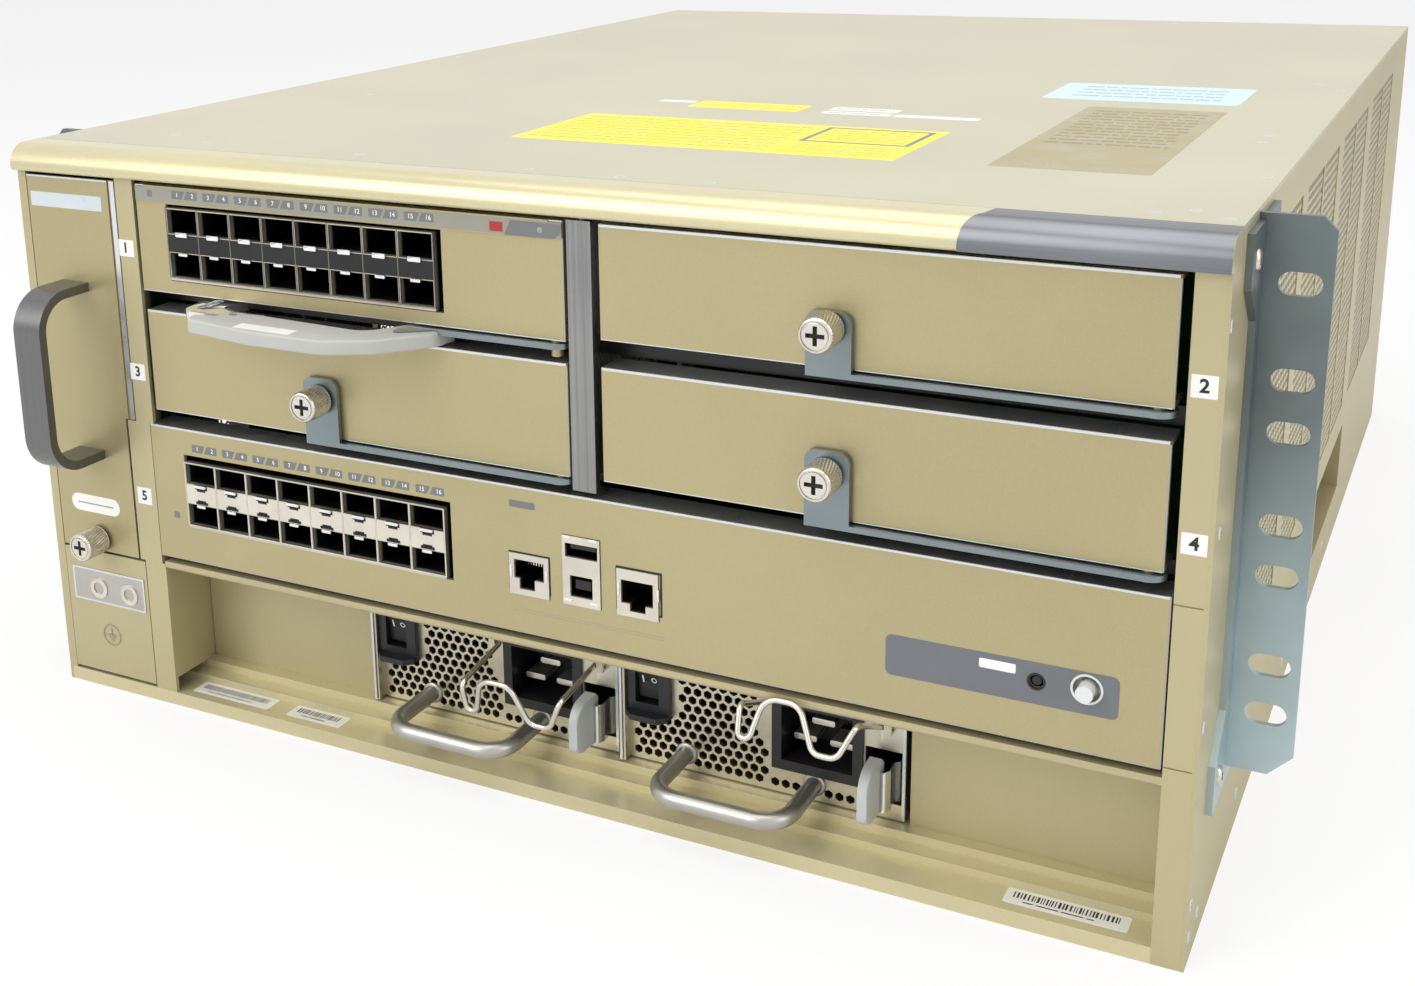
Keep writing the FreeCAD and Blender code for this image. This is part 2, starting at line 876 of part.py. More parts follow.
def side_shell(name):
    """Right-hand side sheet with its vent windows, and the bin of the carry pocket behind it."""
    body = new_body(name + "Sheet")
    outer = [("0", "0"), ("inner_depth", "0"), ("inner_depth", "inner_height"),
             ("cover_front", "inner_height"), ("cover_front", "bezel_low"), ("0", "bezel_low")]
    windows = [rect(front, back, "vent_low", "vent_high") for front, back in SIDE_WINDOWS]
    hand = rect("pocket_front", "pocket_back", "pocket_low", "pocket_high")
    add(body, "YZ_Plane", "inner_half", [outer, hand] + windows, "skin")
    tray = new_body(name + "Bin")
    add(tray, "YZ_Plane", "inner_half - pocket_deep",
        [rect("pocket_front - pocket_sheet", "pocket_back + pocket_sheet",
              "pocket_low - pocket_sheet", "pocket_high + pocket_sheet")], "pocket_deep")
    trim(tray, "YZ_Plane", "inner_half", [hand], "pocket_deep - pocket_sheet")
    return bundle(name + "Body", body, tray)


def make_side_panels():
    """Both outer sides; the left one carries a narrow front flange beside the fan tray."""
    settle(side_shell("RightSide"), "right_side_panel")
    mirror = doc.addObject("Part::Mirroring", "LeftSideMirror")
    mirror.Source = side_shell("LeftSide")
    mirror.Normal = FreeCAD.Vector(1, 0, 0)
    flange = block("LeftSideFlange", ("-inner_half", "door_left - door_gap"), ("0", "skin"),
                   ("lip_height", "bezel_low"))
    settle(bundle("LeftSidePanel", mirror, flange), "left_side_panel")


def make_top_cover():
    body = new_body("TopCover")
    add(body, "XY_Plane", "inner_height", [rect("-half_width", "half_width", "cover_front", "body_depth")],
        "skin")
    settle(body, "top_cover")


def make_rear_panel():
    """Rear sheet with a row of exhaust slots behind the power supplies."""
    body = new_body("RearPanel")
    add(body, "XZ_Plane", "-inner_depth", [rect("-half_width", "half_width", "0", "inner_height")],
        "skin", flipped=True)
    slot = trim(body, "XZ_Plane", "-inner_depth",
                [rect("rear_slot_left", "rear_slot_left + rear_slot_wide", "rear_slot_low",
                      "rear_slot_high")], "2 * skin")
    repeat(body, [slot], "X_Axis", "rear_slot_pitch", "rear_slots")
    settle(body, "rear_panel")


def make_front_bezel():
    """Rounded trim bar above the slots."""
    body = new_body("FrontBezel")
    bar = add(body, "YZ_Plane", "0",
              [rect("-bezel_overhang", "bezel_depth", "bezel_low", "body_height")], "body_width",
              midplane=True)
    top = round_edges(body, bar, "bezel_round", running("x", "-bezel_overhang", "body_height"))
    round_edges(body, top, "bezel_edge", running("x", "-bezel_overhang", "bezel_low"))
    settle(body, "front_bezel")


def pierced_wall(name, left, outline, window_low="air_low"):
    """Upright sheet with a row of air windows."""
    body = new_body(name)
    add(body, "YZ_Plane", left, [outline], "skin")
    window = trim(body, "YZ_Plane", left, [rect("air_front", "air_front + air_width", window_low,
                                                "air_high")], "skin", flipped=True)
    repeat(body, [window], "Y_Axis", "air_pitch", "air_columns")
    return body


def rail(name, left, right, level):
    """Cross rail between two slots."""
    return block(name, (left, right), ("rail_front", "rail_back"), (level + "_low", level + "_high"))


def guide(name, left, right, low, high):
    """Ledge that carries the edge of a board."""
    return block(name, (left, right), ("rail_back", "midplane_front"), (low, high))


def make_left_cage_wall():
    """Wall between the fan tray and the cards, with the front post, fan shelf, rails and guides."""
    wall = pierced_wall("LeftWallSheet", "cage_left - skin", [
        ("skin", "deck_low"), ("fan_wall_back", "deck_low"), ("fan_wall_back", "inner_height"),
        ("cover_front", "inner_height"), ("cover_front", "bezel_low"), ("skin", "bezel_low")])
    post = new_body("LeftPost")
    add(post, "XZ_Plane", "0", [[
        ("lower_post_left", "lip_height"), ("bay_left", "lip_height"), ("bay_left", "left_post_low"),
        ("cage_left", "left_post_low"), ("cage_left", "left_post_high"),
        ("upper_post_right", "left_post_high"), ("upper_post_right", "bezel_low"),
        ("upper_post_left", "bezel_low"), ("upper_post_left", "left_post_high"),
        ("middle_post_left", "left_post_high"), ("middle_post_left", "left_post_low"),
        ("lower_post_left", "left_post_low")]], "skin", flipped=True)
    tip = "cage_left + guide_reach"
    parts = [
        wall,
        post,
        block("BayWall", ("cage_left", "bay_left"), ("skin", "wall_back"), ("bay_floor", "deck_high")),
        block("FanShelf", ("-inner_half", "cage_left - skin"), ("shelf_front", "fan_wall_back"),
              ("shelf_low", "shelf_high")),
        rail("LeftUpperRail", "cage_left", "web_left", "upper_rail"),
        rail("LeftLowerRail", "cage_left", "web_left", "lower_rail"),
        guide("CardGuideLow", "cage_left", tip, "card_board_low - guide_gap - guide_thick",
              "card_board_low - guide_gap"),
        guide("CardGuideHigh", "cage_left", tip, "card_board_high + guide_gap",
              "card_board_high + guide_gap + guide_thick"),
        guide("SupervisorGuide", "cage_left", tip, "sup_board_low - guide_thick", "sup_board_low"),
    ]
    settle(bundle("LeftCageWall", *parts), "left_cage_wall")


def make_right_cage_wall():
    """Wall beside the cards on the right, with the front post and its two joints."""
    wall = pierced_wall("RightWallSheet", "cage_right", [
        ("skin", "skin"), ("wall_relief", "skin"), ("wall_relief", "bay_floor"),
        ("wall_back", "bay_floor"), ("wall_back", "pocket_low - pocket_margin"),
        ("pocket_front - pocket_margin", "pocket_low - pocket_margin"),
        ("pocket_front - pocket_margin", "pocket_high + pocket_margin"),
        ("wall_back", "pocket_high + pocket_margin"), ("wall_back", "inner_height"),
        ("cover_front", "inner_height"), ("cover_front", "bezel_low"), ("skin", "bezel_low")])
    post = new_body("RightPost")
    add(post, "XZ_Plane", "0", [rect("cage_right", "inner_half", "0", "bezel_low")], "skin", flipped=True)
    trim(post, "XZ_Plane", "0",
         [rect("cage_right - 1", "half_width", joint, joint + " + joint_gap")
          for joint in ("post_joint_low", "post_joint_high")], "joint_gap")
    parts = [
        wall,
        post,
        rail("RightUpperRail", "web_right", "cage_right", "upper_rail"),
        rail("RightLowerRail", "web_right", "cage_right", "lower_rail"),
        guide("RightSupervisorGuide", "cage_right - guide_reach", "cage_right",
              "sup_board_low - guide_thick", "sup_board_low"),
    ]
    settle(bundle("RightCageWall", *parts), "right_cage_wall")


def make_center_divider():
    """Post and air-pierced web between the left and right slots."""
    web = new_body("DividerWeb")
    thick = "web_right - web_left"
    add(web, "YZ_Plane", "web_left", [[
        ("skin", "lower_rail_high"), ("midplane_front", "lower_rail_high"),
        ("midplane_front", "inner_height"), ("cover_front", "inner_height"), ("cover_front", "bezel_low"),
        ("skin", "bezel_low")]], thick)
    trim(web, "YZ_Plane", "web_left", [rect("rail_front", "rail_back", "upper_rail_low",
                                            "upper_rail_high")], thick, flipped=True)
    window = trim(web, "YZ_Plane", "web_left",
                  [rect("air_front", "air_front + air_width", "lower_rail_high + air_sill", "air_high")],
                  thick, flipped=True)
    repeat(web, [window], "Y_Axis", "air_pitch", "air_columns")
    tip = "divider_tip"
    parts = [
        web,
        block("DividerPost", ("divider_left", "divider_right"), ("-divider_proud", "divider_back"),
              ("divider_low", "divider_high")),
        guide("DividerGuideLow", tip, "web_left", "card_board_low - guide_gap - guide_thick",
              "card_board_low - guide_gap"),
        guide("DividerGuideHigh", tip, "web_left", "card_board_high + guide_gap",
              "card_board_high + guide_gap + guide_thick"),
    ]
    settle(bundle("CenterDivider", *parts), "center_divider")


def make_psu_deck():
    """Shelf over the power bay with a rounded front hem."""
    body = new_body("PsuDeck")
    shelf = add(body, "YZ_Plane", "bay_left", [[
        ("0", "deck_lip_low"), ("deck_lip_depth", "deck_lip_low"), ("deck_lip_depth", "deck_low"),
        ("midplane_front", "deck_low"), ("midplane_front", "deck_high"),
        ("deck_lip_depth", "deck_high"), ("deck_lip_depth", "deck_lip_high"), ("0", "deck_lip_high")]],
        "cage_right - bay_left")
    round_edges(body, shelf, "skin", running("x", "0", "deck_lip_low"))
    settle(body, "psu_deck")


def make_ground_panel():
    """Lower left panel with the bare pad and its two threaded lug nuts."""
    body = new_body("GroundPanel")
    lugs = [("lug_left", "lug_height"), ("lug_right", "lug_height")]
    add(body, "XZ_Plane", "0", [rect("ground_left", "ground_right", "ground_low", "ground_high")],
        "skin", flipped=True)
    add(body, "XZ_Plane", "0", [rect("pad_left", "pad_right", "pad_low", "pad_high")], "pad_proud")
    add(body, "XZ_Plane", "-skin", [facets(x, z, "lug_nut_r", 6) for x, z in lugs],
        "lug_length - skin - pad_proud", flipped=True)
    drill(body, "XZ_Plane", "pad_proud", lugs, "lug_hole_r", "lug_length + pad_proud")
    settle(body, "ground_panel")


def make_psu_blanks():
    """Folded covers of the two unused outer parts of the power bay."""
    depth = "psu_face + flange_deep"
    covers = [channel("PsuBlank" + side, f"blank_left_{side}", f"blank_right_{side}", "bay_floor",
                      "blank_high", "psu_face", depth) for side in ("a", "b")]
    settle(bundle("PsuBlanks", *covers), "psu_blanks")


def make_midplane():
    """Board across the back of the card cage with one connector for each slot."""
    parts = [block("MidplaneBoard", ("cage_left", "cage_right"), ("midplane_front", "wall_back"),
                   ("deck_high", "midplane_high"))]
    places = (("One", "plug_left", "socket_upper"), ("Two", "plug_right", "socket_upper"),
              ("Three", "plug_left", "socket_middle"), ("Four", "plug_right", "socket_middle"),
              ("Five", "plug_middle", "socket_lower"))
    for name, left, low in places:
        parts.append(block("Socket" + name, (left, left + " + plug_wide"),
                           ("board_back + 1", "midplane_front"), (low, low + " + socket_tall")))
    settle(fuse("Midplane", *parts), "midplane")


def bracket_shape(name):
    """Right-hand rack bracket: side leg, front flange and slots at the standard heights."""
    body = new_body(name)
    add(body, "YZ_Plane", "half_width", [[
        ("leg_tip", "leg_low"), ("leg_back", "leg_low"), ("leg_back", "leg_high"), ("leg_tip", "leg_high"),
        ("leg_tip", "leg_high - leg_notch"), ("leg_middle", "leg_high - leg_relief"),
        ("leg_middle", "leg_low + leg_relief"), ("leg_tip", "leg_low + leg_notch")]], "bracket_thick")
    add(body, "XZ_Plane", "-flange_plane", [[
        ("half_width", "flange_low"), ("flange_edge - flange_corner", "flange_low"),
        ("flange_edge", "flange_low + flange_corner"), ("flange_edge", "flange_high - flange_nick"),
        ("flange_edge - flange_nick", "flange_high"), ("half_width", "flange_high")]],
        "bracket_thick", flipped=True)
    slots = sketch_on(body, "XZ_Plane", "-flange_plane")
    for height in RACK_SLOTS:
        draw_slot(slots, "slot_x", height, "slot_long", "slot_wide")
    pocket(body, slots, "bracket_thick")
    return body


def make_rack_brackets():
    settle(bracket_shape("BracketRight"), "rack_bracket_right")
    left = doc.addObject("Part::Mirroring", "BracketLeft")
    left.Source = bracket_shape("BracketOther")
    left.Normal = FreeCAD.Vector(1, 0, 0)
    settle(left, "rack_bracket_left")


def make_bracket_screws():
    """Heads that hold the bracket legs to the sides."""
    places = (("leg_tip + head_inset", "leg_high - head_inset"),
              ("leg_middle + head_step", "head_middle"),
              ("leg_tip + head_inset", "leg_low + head_inset"))
    heads = [facets(depth, height, "head_r", 10) for depth, height in places]
    bodies = []
    for side, plane in (("Right", "half_width + bracket_thick"),
                        ("Left", "-half_width - bracket_thick - head_high")):
        for number, head in enumerate(heads):
            body = new_body(f"BracketScrew{side}{number}")
            add(body, "YZ_Plane", plane, [head], "head_high")
            bodies.append(body)
    settle(bundle("BracketScrews", *bodies), "bracket_screws")


# ---------------------------------------------------------------------------------------------------
# Supervisor


def make_supervisor_faceplate():
    """Full-width plate with cage, jack, reset and locator openings."""
    body = channel("SupervisorFaceplate", "sup_left", "sup_right", "sup_low", "sup_high")
    windows = [rect("sup_window_left", "sup_window_right", "window_low", "sup_window_high")]
    windows += [rect(f"{port}_left - window_gap", f"{port}_right + window_gap", "window_low",
                     f"{port}_high + window_gap") for port in ("mgmt", "usb", "console")]
    trim(body, "XZ_Plane", "0", windows, "skin")
    drill(body, "XZ_Plane", "0", [("reset_x", "reset_z")], "reset_hole_r", "skin")
    drill(body, "XZ_Plane", "0", [("locator_x", "locator_z")], "locator_hole_r", "skin")
    settle(body, "supervisor_faceplate")


def heat_sink(name, prefix, base):
    """Plain block for a finned heat sink on a board."""
    return block(name, (prefix + "_left", prefix + "_right"), (prefix + "_front", prefix + "_back"),
                 (base, f"{base} + {prefix}_tall"))


def board_plug(name, left, base):
    """Rear connector of a board."""
    return block(name, (left, left + " + plug_wide"), ("board_back - plug_deep", "board_back"),
                 (base, base + " + plug_tall"))


def make_supervisor_board():
    """Main board with two heat sinks and its midplane connector."""
    parts = [
        block("SupervisorPcb", ("sup_left + board_inset", "sup_right - board_inset"),
              ("board_front", "board_back"), ("sup_board_low", "sup_board_high")),
        heat_sink("HeatSinkA", "sink_1", "sup_board_high"),
        heat_sink("HeatSinkB", "sink_2", "sup_board_high"),
        board_plug("PlugSupervisor", "plug_middle", "sup_board_high"),
    ]
    settle(fuse("SupervisorBoard", *parts), "supervisor_board")


def cage_block(name, left, right, low, high, pitch, rows):
    """Shielded block with two rows of transceiver cavities."""
    body = new_body(name)
    add(body, "XZ_Plane", "-cage_front", [rect(left, right, low, high)], "cage_back - cage_front",
        flipped=True)
    port = trim(body, "XZ_Plane", "-cage_front",
                [rect(left + " + cage_wall", f"{left} + {pitch} - cage_wall", row + "_low", row + "_high")
                 for row in rows], "cavity_back - cage_front")
    repeat(body, [port], "X_Axis", pitch, "cage_ports")
    return body


def make_supervisor_cages():
    settle(cage_block("SupervisorCages", "sup_cage_left", "sup_cage_right", "sup_board_high",
                      "sup_cage_high", "sup_port_pitch", ("sup_row_1", "sup_row_2")),
           "supervisor_cages")


def jack_case(name, port):
    """Metal case of one connector on the supervisor board."""
    body = new_body(name)
    add(body, "XZ_Plane", "-jack_front", [rect(port + "_left", port + "_right", "sup_board_high",
                                               port + "_high")], "jack_back - jack_front", flipped=True)
    return body


def modular_jack(name, port):
    """Jack with a wide mouth over its narrower key slot."""
    left, right, key_left, key_right = (f"{port}_{edge}" for edge in (
        "mouth_left", "mouth_right", "key_left", "key_right"))
    low, high, key_low = (f"{port}_{edge}" for edge in ("mouth_low", "mouth_high", "key_low"))
    body = jack_case(name, port)
    trim(body, "XZ_Plane", "-jack_front", [[
        (left, low), (key_left, low), (key_left, key_low), (key_right, key_low), (key_right, low),
        (right, low), (right, high), (left, high)]], "jack_deep")
    return body


def usb_stack():
    """Wide mouth over a square one, each with a tongue set back from the opening."""
    body = jack_case("UsbStack", "usb")
    mouths = [rect("usb_a_left", "usb_a_right", "usb_a_low", "usb_a_high"),
              rect("usb_b_left", "usb_b_right", "usb_b_low", "usb_b_high")]
    inset = "usb_tongue_inset"
    tongues = [rect(f"usb_a_left + {inset}", f"usb_a_right - {inset}", "usb_a_tongue", "usb_a_high - 0.8"),
               rect(f"usb_b_left + {inset}", f"usb_b_right - {inset}", "usb_b_tongue", "usb_b_high - 1.9")]
    trim(body, "XZ_Plane", "-jack_front", mouths, "usb_tongue_back")
    trim(body, "XZ_Plane", "-jack_front", mouths + tongues, "jack_deep")
    return body


def make_service_jacks():
    """Management jack, USB stack and console jack on the supervisor board."""
    settle(bundle("ServiceJacks", modular_jack("ManagementJack", "mgmt"),
                  modular_jack("ConsoleJack", "console"), usb_stack()), "service_jacks")


def push_button(name, label, x, z, radius, front):
    """A stem with a square retaining collar behind the plate."""
    body = new_body(name)
    stud(body, "XZ_Plane", f"-({front})", ("0", "0"), radius, f"button_back - ({front})", flipped=True)
    half = f"({radius} + collar_margin)"
    add(body, "XZ_Plane", "-collar_front", [rect("-" + half, half, "-" + half, half)], "collar_thick",
        flipped=True)
    settle(body, label, x, z)


def make_buttons():
    push_button("ResetButton", "reset_button", "reset_x", "reset_z", "reset_stem_r", "reset_front")
    push_button("LocatorButton", "locator_button", "locator_x", "locator_z", "locator_stem_r",
                "locator_front")


# ---------------------------------------------------------------------------------------------------
# Fan tray


def make_fan_tray():
    """Door and channel-shaped spine that carries the fans, with four air windows for each fan."""
    body = new_body("FanTray")
    add(body, "XZ_Plane", "-skin", [[
        ("tray_left", "tray_low"), ("spine_right", "tray_low"), ("spine_right", "tray_high"),
        ("tray_left", "tray_high"), ("tray_left", "tray_high - tray_sheet"),
        ("spine_left", "tray_high - tray_sheet"), ("spine_left", "tray_low + tray_sheet"),
        ("tray_left", "tray_low + tray_sheet")]], "tray_back - skin", flipped=True)
    add(body, "XZ_Plane", "tray_sheet - tray_back",
        [rect("tray_left", "spine_right", "tray_low", "tray_high")], "tray_sheet", flipped=True)
    add(body, "XZ_Plane", "0", [[
        ("door_left", "door_low"), ("door_step", "door_low"), ("door_step", "fold_low"),
        ("door_right", "fold_low"), ("door_right", "door_high"), ("door_left", "door_high")]],
        "skin", flipped=True)
    add(body, "XZ_Plane", "-fold_back", [rect("door_right", "fold_right", "fold_low", "door_high")],
        "skin - fold_back", flipped=True)
    drill(body, "XZ_Plane", "0", [("tray_screw_x", "tray_screw_z")], "knob_hole_r", "skin")
    quarters = [[(f"fan_1_y + {over} * {across}", f"fan_z + {up} * {along}")
                 for across, along in (("arm_half", "arm_root"), ("arm_half", "window_reach"),
                                       ("window_corner", "window_corner"), ("window_reach", "arm_half"),
                                       ("arm_root", "arm_half"))]
                for over, up in ((1, 1), (-1, 1), (-1, -1), (1, -1))]
    windows = trim(body, "YZ_Plane", "spine_left", quarters, "spine_right - spine_left", flipped=True)
    repeat(body, [windows], "Y_Axis", "fan_pitch", "fan_count")
    settle(body, "fan_tray")


def make_fan_tray_handle():
    """Flat strip bent to a rounded D, feet on the door."""
    body = new_body("FanTrayHandle")
    front = "-grip_reach"
    back = "grip_thick - grip_reach"
    low = "grip_low + grip_thick"
    high = "grip_high - grip_thick"
    strip = add(body, "YZ_Plane", "grip_left", [[
        (front, "grip_low"), ("0", "grip_low"), ("0", low), (back, low), (back, high), ("0", high),
        ("0", "grip_high"), (front, "grip_high")]], "grip_width")
    inner = round_edges(body, strip, "grip_round - grip_thick", running("x", back, low),
                        running("x", back, high))
    round_edges(body, inner, "grip_round", running("x", front, "grip_low"),
                running("x", front, "grip_high"))
    settle(body, "fan_tray_handle")


def fan_frame(number):
    """Square frame with a round bore, a cross of struts and a spindle."""
    body = new_body(f"FanFrame{number}")
    across = f"fan_{number}_y"
    half = "fan_size / 2"
    frame = sketch_on(body, "YZ_Plane", "spine_left - fan_thick")
    draw_polygon(frame, rect(f"{across} - {half}", f"{across} + {half}", f"fan_z - {half}",
                             f"fan_z + {half}"))
    draw_circle(frame, across, "fan_z", "fan_bore_r")
    pad(body, frame, "fan_thick")
    thin = "strut_half"
    long = "(fan_bore_r + strut_half)"
    corners = ((thin, thin), (thin, long), ("-" + thin, long), ("-" + thin, thin), ("-" + long, thin),
               ("-" + long, "-" + thin), ("-" + thin, "-" + thin), ("-" + thin, "-" + long),
               (thin, "-" + long), (thin, "-" + thin), (long, "-" + thin), (long, thin))
    cross = [(f"{across} + {y}", f"fan_z + {z}") for y, z in corners]
    add(body, "YZ_Plane", "spine_left - strut_thick", [cross], "strut_thick")
    stud(body, "YZ_Plane", "spine_left - spindle_long", (across, "fan_z"), "spindle_r",
         "spindle_long - strut_thick / 2")
    return body


def make_fan_frames():
    settle(bundle("FanFrames", fan_frame(1), fan_frame(2), fan_frame(3)), "fan_frames")


def make_fan_rotor(number):
    """Hub with seven slanted blades, built on its own axis and set in its frame."""
    body = new_body(f"FanRotor{number}")
    add(body, "YZ_Plane", "0", [facets("0", "0", "fan_hub_r", 14)], "hub_long")
    wing = add(body, "XY_Plane", "fan_hub_r - blade_root", [[
        ("blade_front", "-blade_half"), ("blade_front + blade_thick", "-blade_half"),
        ("blade_back", "blade_half"), ("blade_back - blade_thick", "blade_half")]],
        "fan_tip - fan_hub_r + blade_root")
    ring = body.newObject("PartDesign::PolarPattern", body.Name + "_blades")
    ring.Originals = [wing]
    ring.Axis = (origin_item(body, "X_Axis"), [""])
    ring.Occurrences = 7
    ring.Angle = 360
    body.Tip = ring
    doc.recompute()
    drill(body, "YZ_Plane", "0", [("0", "0")], "bearing_r", "hub_long", flipped=True)
    settle(body, f"fan_rotor_{number}", "spine_left - hub_lift", "fan_z")
    body.setExpression("Placement.Base.y", bound(f"fan_{number}_y - body_depth / 2"))


def captive_screw(name, label, x, z, back, tip):
    """Thumb screw turned from one half-section: knob, shoulder and plain shank."""
    body = new_body(name)
    section = sketch_on(body, "YZ_Plane")
    draw_polygon(section, [(tip, "0"), (tip, "knob_rim_r"), (back, "knob_rim_r"), (back, "knob_shaft_r"),
                           ("knob_reach", "knob_shaft_r"), ("knob_reach", "0")])
    turned = body.newObject("PartDesign::Revolution", name + "_turned")
    turned.Profile = section
    turned.ReferenceAxis = (section, ["H_Axis"])
    turned.Angle = 360
    doc.recompute()
    settle(body, label, x, z)


# ---------------------------------------------------------------------------------------------------
# Port card


def make_port_card_faceplate():
    """Card front with the cage window, the proud number ledge and the lever pin."""
    body = channel("PortCardFaceplate", "card_left", "card_right", "card_low", "card_high")
    add(body, "XZ_Plane", "0", [rect("ledge_left", "ledge_right", "ledge_low", "card_high")],
        "ledge_proud")
    trim(body, "XZ_Plane", "0", [rect("port_left - window_gap", "port_right", "port_sill", "port_high")],
         "skin")
    stud(body, "XY_Plane", "card_low - card_pin_drop", ("card_right - pivot_inset", "pivot_y"), "pin_r",
         "card_pin_drop + skin / 2")
    settle(body, "port_card_faceplate")


def make_port_card_board():
    """Card board with a heat sink and its midplane connector."""
    parts = [
        block("CardPcb", ("card_left + board_gap", "card_right - board_gap"),
              ("board_front", "board_back"), ("card_board_low", "card_board_high")),
        heat_sink("CardSink", "sink_3", "card_board_high"),
        board_plug("PlugCard", "plug_left", "card_board_high"),
    ]
    settle(fuse("PortCardBoard", *parts), "port_card_board")


def make_port_card_cages():
    settle(cage_block("PortCardCages", "card_cage_left", "card_cage_right", "card_board_high",
                      "card_cage_high", "card_port_pitch", ("row_1", "row_2")), "port_card_cages")


def make_port_card_lever():
    """Flat steel lever: eye, straight arm and a tongue that lies in the grip."""
    body = new_body("PortCardLever")
    level = "card_low - lever_gap - lever_thick"
    pivot = ("card_right - pivot_inset", "pivot_y")
    arm = add(body, "XY_Plane", level, [[
        (pivot[0], "lever_front"), (pivot[0], "lever_back"), ("tongue_right", "lever_back"),
        ("tongue_left", "tongue_back"), ("tongue_left", "tongue_tip"), ("tongue_heel", "lever_front")]],
        "lever_thick")
    round_edges(body, arm, "tongue_round", running("z", "tongue_left", "tongue_tip"),
                running("z", "tongue_left", "tongue_back"))
    stud(body, "XY_Plane", level, pivot, "eye_r", "lever_thick")
    drill(body, "XY_Plane", level, [pivot], "pin_hole_r", "lever_thick", flipped=True)
    settle(body, "port_card_lever")


def make_port_card_lever_grip():
    """Moulded handle that bows forward of the ports; it holds the steel tongue and the latch pin."""
    body = new_body("PortCardLeverGrip")
    heel = [("grip_heel", "grip_heel_back"), ("grip_neck", "grip_neck_back")]
    hollow = [("grip_bay", "grip_bay_front")]
    seat = [("seat_right", "grip_rest"), ("grip_step", "grip_rest")]
    nose = [("grip_step", "grip_nose_back"), ("grip_nose", "grip_nose_front")]
    bow = [("grip_nose_curl", "grip_curl_front"), ("grip_bow_left", "grip_bow_front"),
           ("grip_bow_right", "grip_bow_front"), ("grip_shoulder", "grip_shoulder_front")]
    base = add(body, "XY_Plane", "grip_floor",
               [heel + hollow + seat + nose + bow + [("grip_heel_tip", "grip_tip_front")]], "grip_tall")
    swept = round_edges(body, base, "grip_bow_round", *[running("z", x, y) for x, y in bow[1:]])
    eased = round_edges(body, swept, "grip_bay_round", *[running("z", x, y) for x, y in hollow])
    round_edges(body, eased, "grip_nose_round", running("z", *nose[1]), running("z", *bow[0]),
                running("z", *heel[0]))
    trim(body, "XY_Plane", "card_low - lever_gap - lever_thick", [[
        ("grip_slot_right", "lever_front - grip_slot_gap"), ("grip_slot_right", "grip_slot_back"),
        ("tongue_left - grip_slot_gap", "grip_slot_back"),
        ("tongue_left - grip_slot_gap", "tongue_tip - 2 * grip_slot_gap"),
        ("tongue_heel", "lever_front - grip_slot_gap")]], "tongue_high", flipped=True)
    trim(body, "XY_Plane", "grip_floor + seat_floor",
         [rect("grip_nose - seat_floor", "seat_right", "seat_front", "seat_back")], "grip_tall",
         flipped=True)
    stud(body, "XY_Plane", "grip_floor + seat_floor / 2", ("hook_pin_x", "hook_pin_y"), "hook_pin_r",
         "grip_tall - seat_floor")
    settle(body, "port_card_lever_grip")


def make_port_card_latch():
    """Sprung loop that turns on the pin in the free end of the grip."""
    body = new_body("PortCardLatch")
    finger = [("hook_right", "hook_low"), ("hook_elbow", "hook_low"), ("hook_left", "hook_back_low")]
    loop = [("hook_far", "hook_mid"), ("hook_peak", "hook_top"), ("hook_end", "hook_top")]
    inner = [("hook_inner", "hook_inner_back"), ("hook_throat", "hook_throat_back"),
             ("hook_right", "hook_throat_back")]
    outer = add(body, "XY_Plane", "grip_floor + hook_floor", [finger + loop + inner], "hook_tall")
    smooth = round_edges(body, outer, "hook_round", *[running("z", x, y) for x, y in
                                                      (finger[2], loop[0], loop[1], loop[2])])
    eye = trim(body, "XY_Plane", "grip_floor + hook_floor",
               [rect("hook_eye_left", "hook_eye_right", "hook_eye_front", "hook_eye_back")],
               "hook_tall", flipped=True)
    corners = [running("z", x, y) for x in ("hook_eye_left", "hook_eye_right")
               for y in ("hook_eye_front", "hook_eye_back")]
    round_edges(body, eye, "hook_eye_round", *corners)
    drill(body, "XY_Plane", "grip_floor + hook_floor", [("hook_pin_x", "hook_pin_y")],
          "hook_pin_r + hook_gap", "hook_tall", flipped=True)
    settle(body, "port_card_latch")


# ---------------------------------------------------------------------------------------------------
# Slot blanks, each built from the slot's lower left corner


def blank_cover(name, slot, knob):
    """Channel cover with the lever pin below it and the clearance hole of the captive screw."""
    body = channel(name, "0", slot + "_width", "0", slot + "_height")
    stud(body, "XY_Plane", "-pin_below", (slot + "_width - pivot_inset", "pivot_y"), "pin_r",
         "pin_below + skin / 2")
    drill(body, "XZ_Plane", "0", [knob], "knob_clear_r", "skin")
    return body


def blank_lever(name, slot, knob):
    """Flat ejector under the cover with an upright round-topped tab for the screw."""
    body = new_body(name)
    level = "-lever_gap - lever_thick"
    pivot = (slot + "_width - pivot_inset", "pivot_y")
    left = knob[0] + " - tab_width / 2"
    right = knob[0] + " + tab_width / 2"
    tab = add(body, "XZ_Plane", "-lever_front", [rect(left, right, level, slot + "_tab")], "tab_thick",
              flipped=True)
    round_edges(body, tab, "tab_round", running("y", left, slot + "_tab"),
                running("y", right, slot + "_tab"))
    add(body, "XY_Plane", level, [rect(left, pivot[0], "lever_front", "lever_back")], "lever_thick")
    stud(body, "XY_Plane", level, pivot, "eye_r", "lever_thick")
    drill(body, "XY_Plane", level, [pivot], "pin_hole_r", "lever_thick", flipped=True)
    drill(body, "XZ_Plane", "-lever_front", [knob], "knob_hole_r", "tab_thick")
    return body


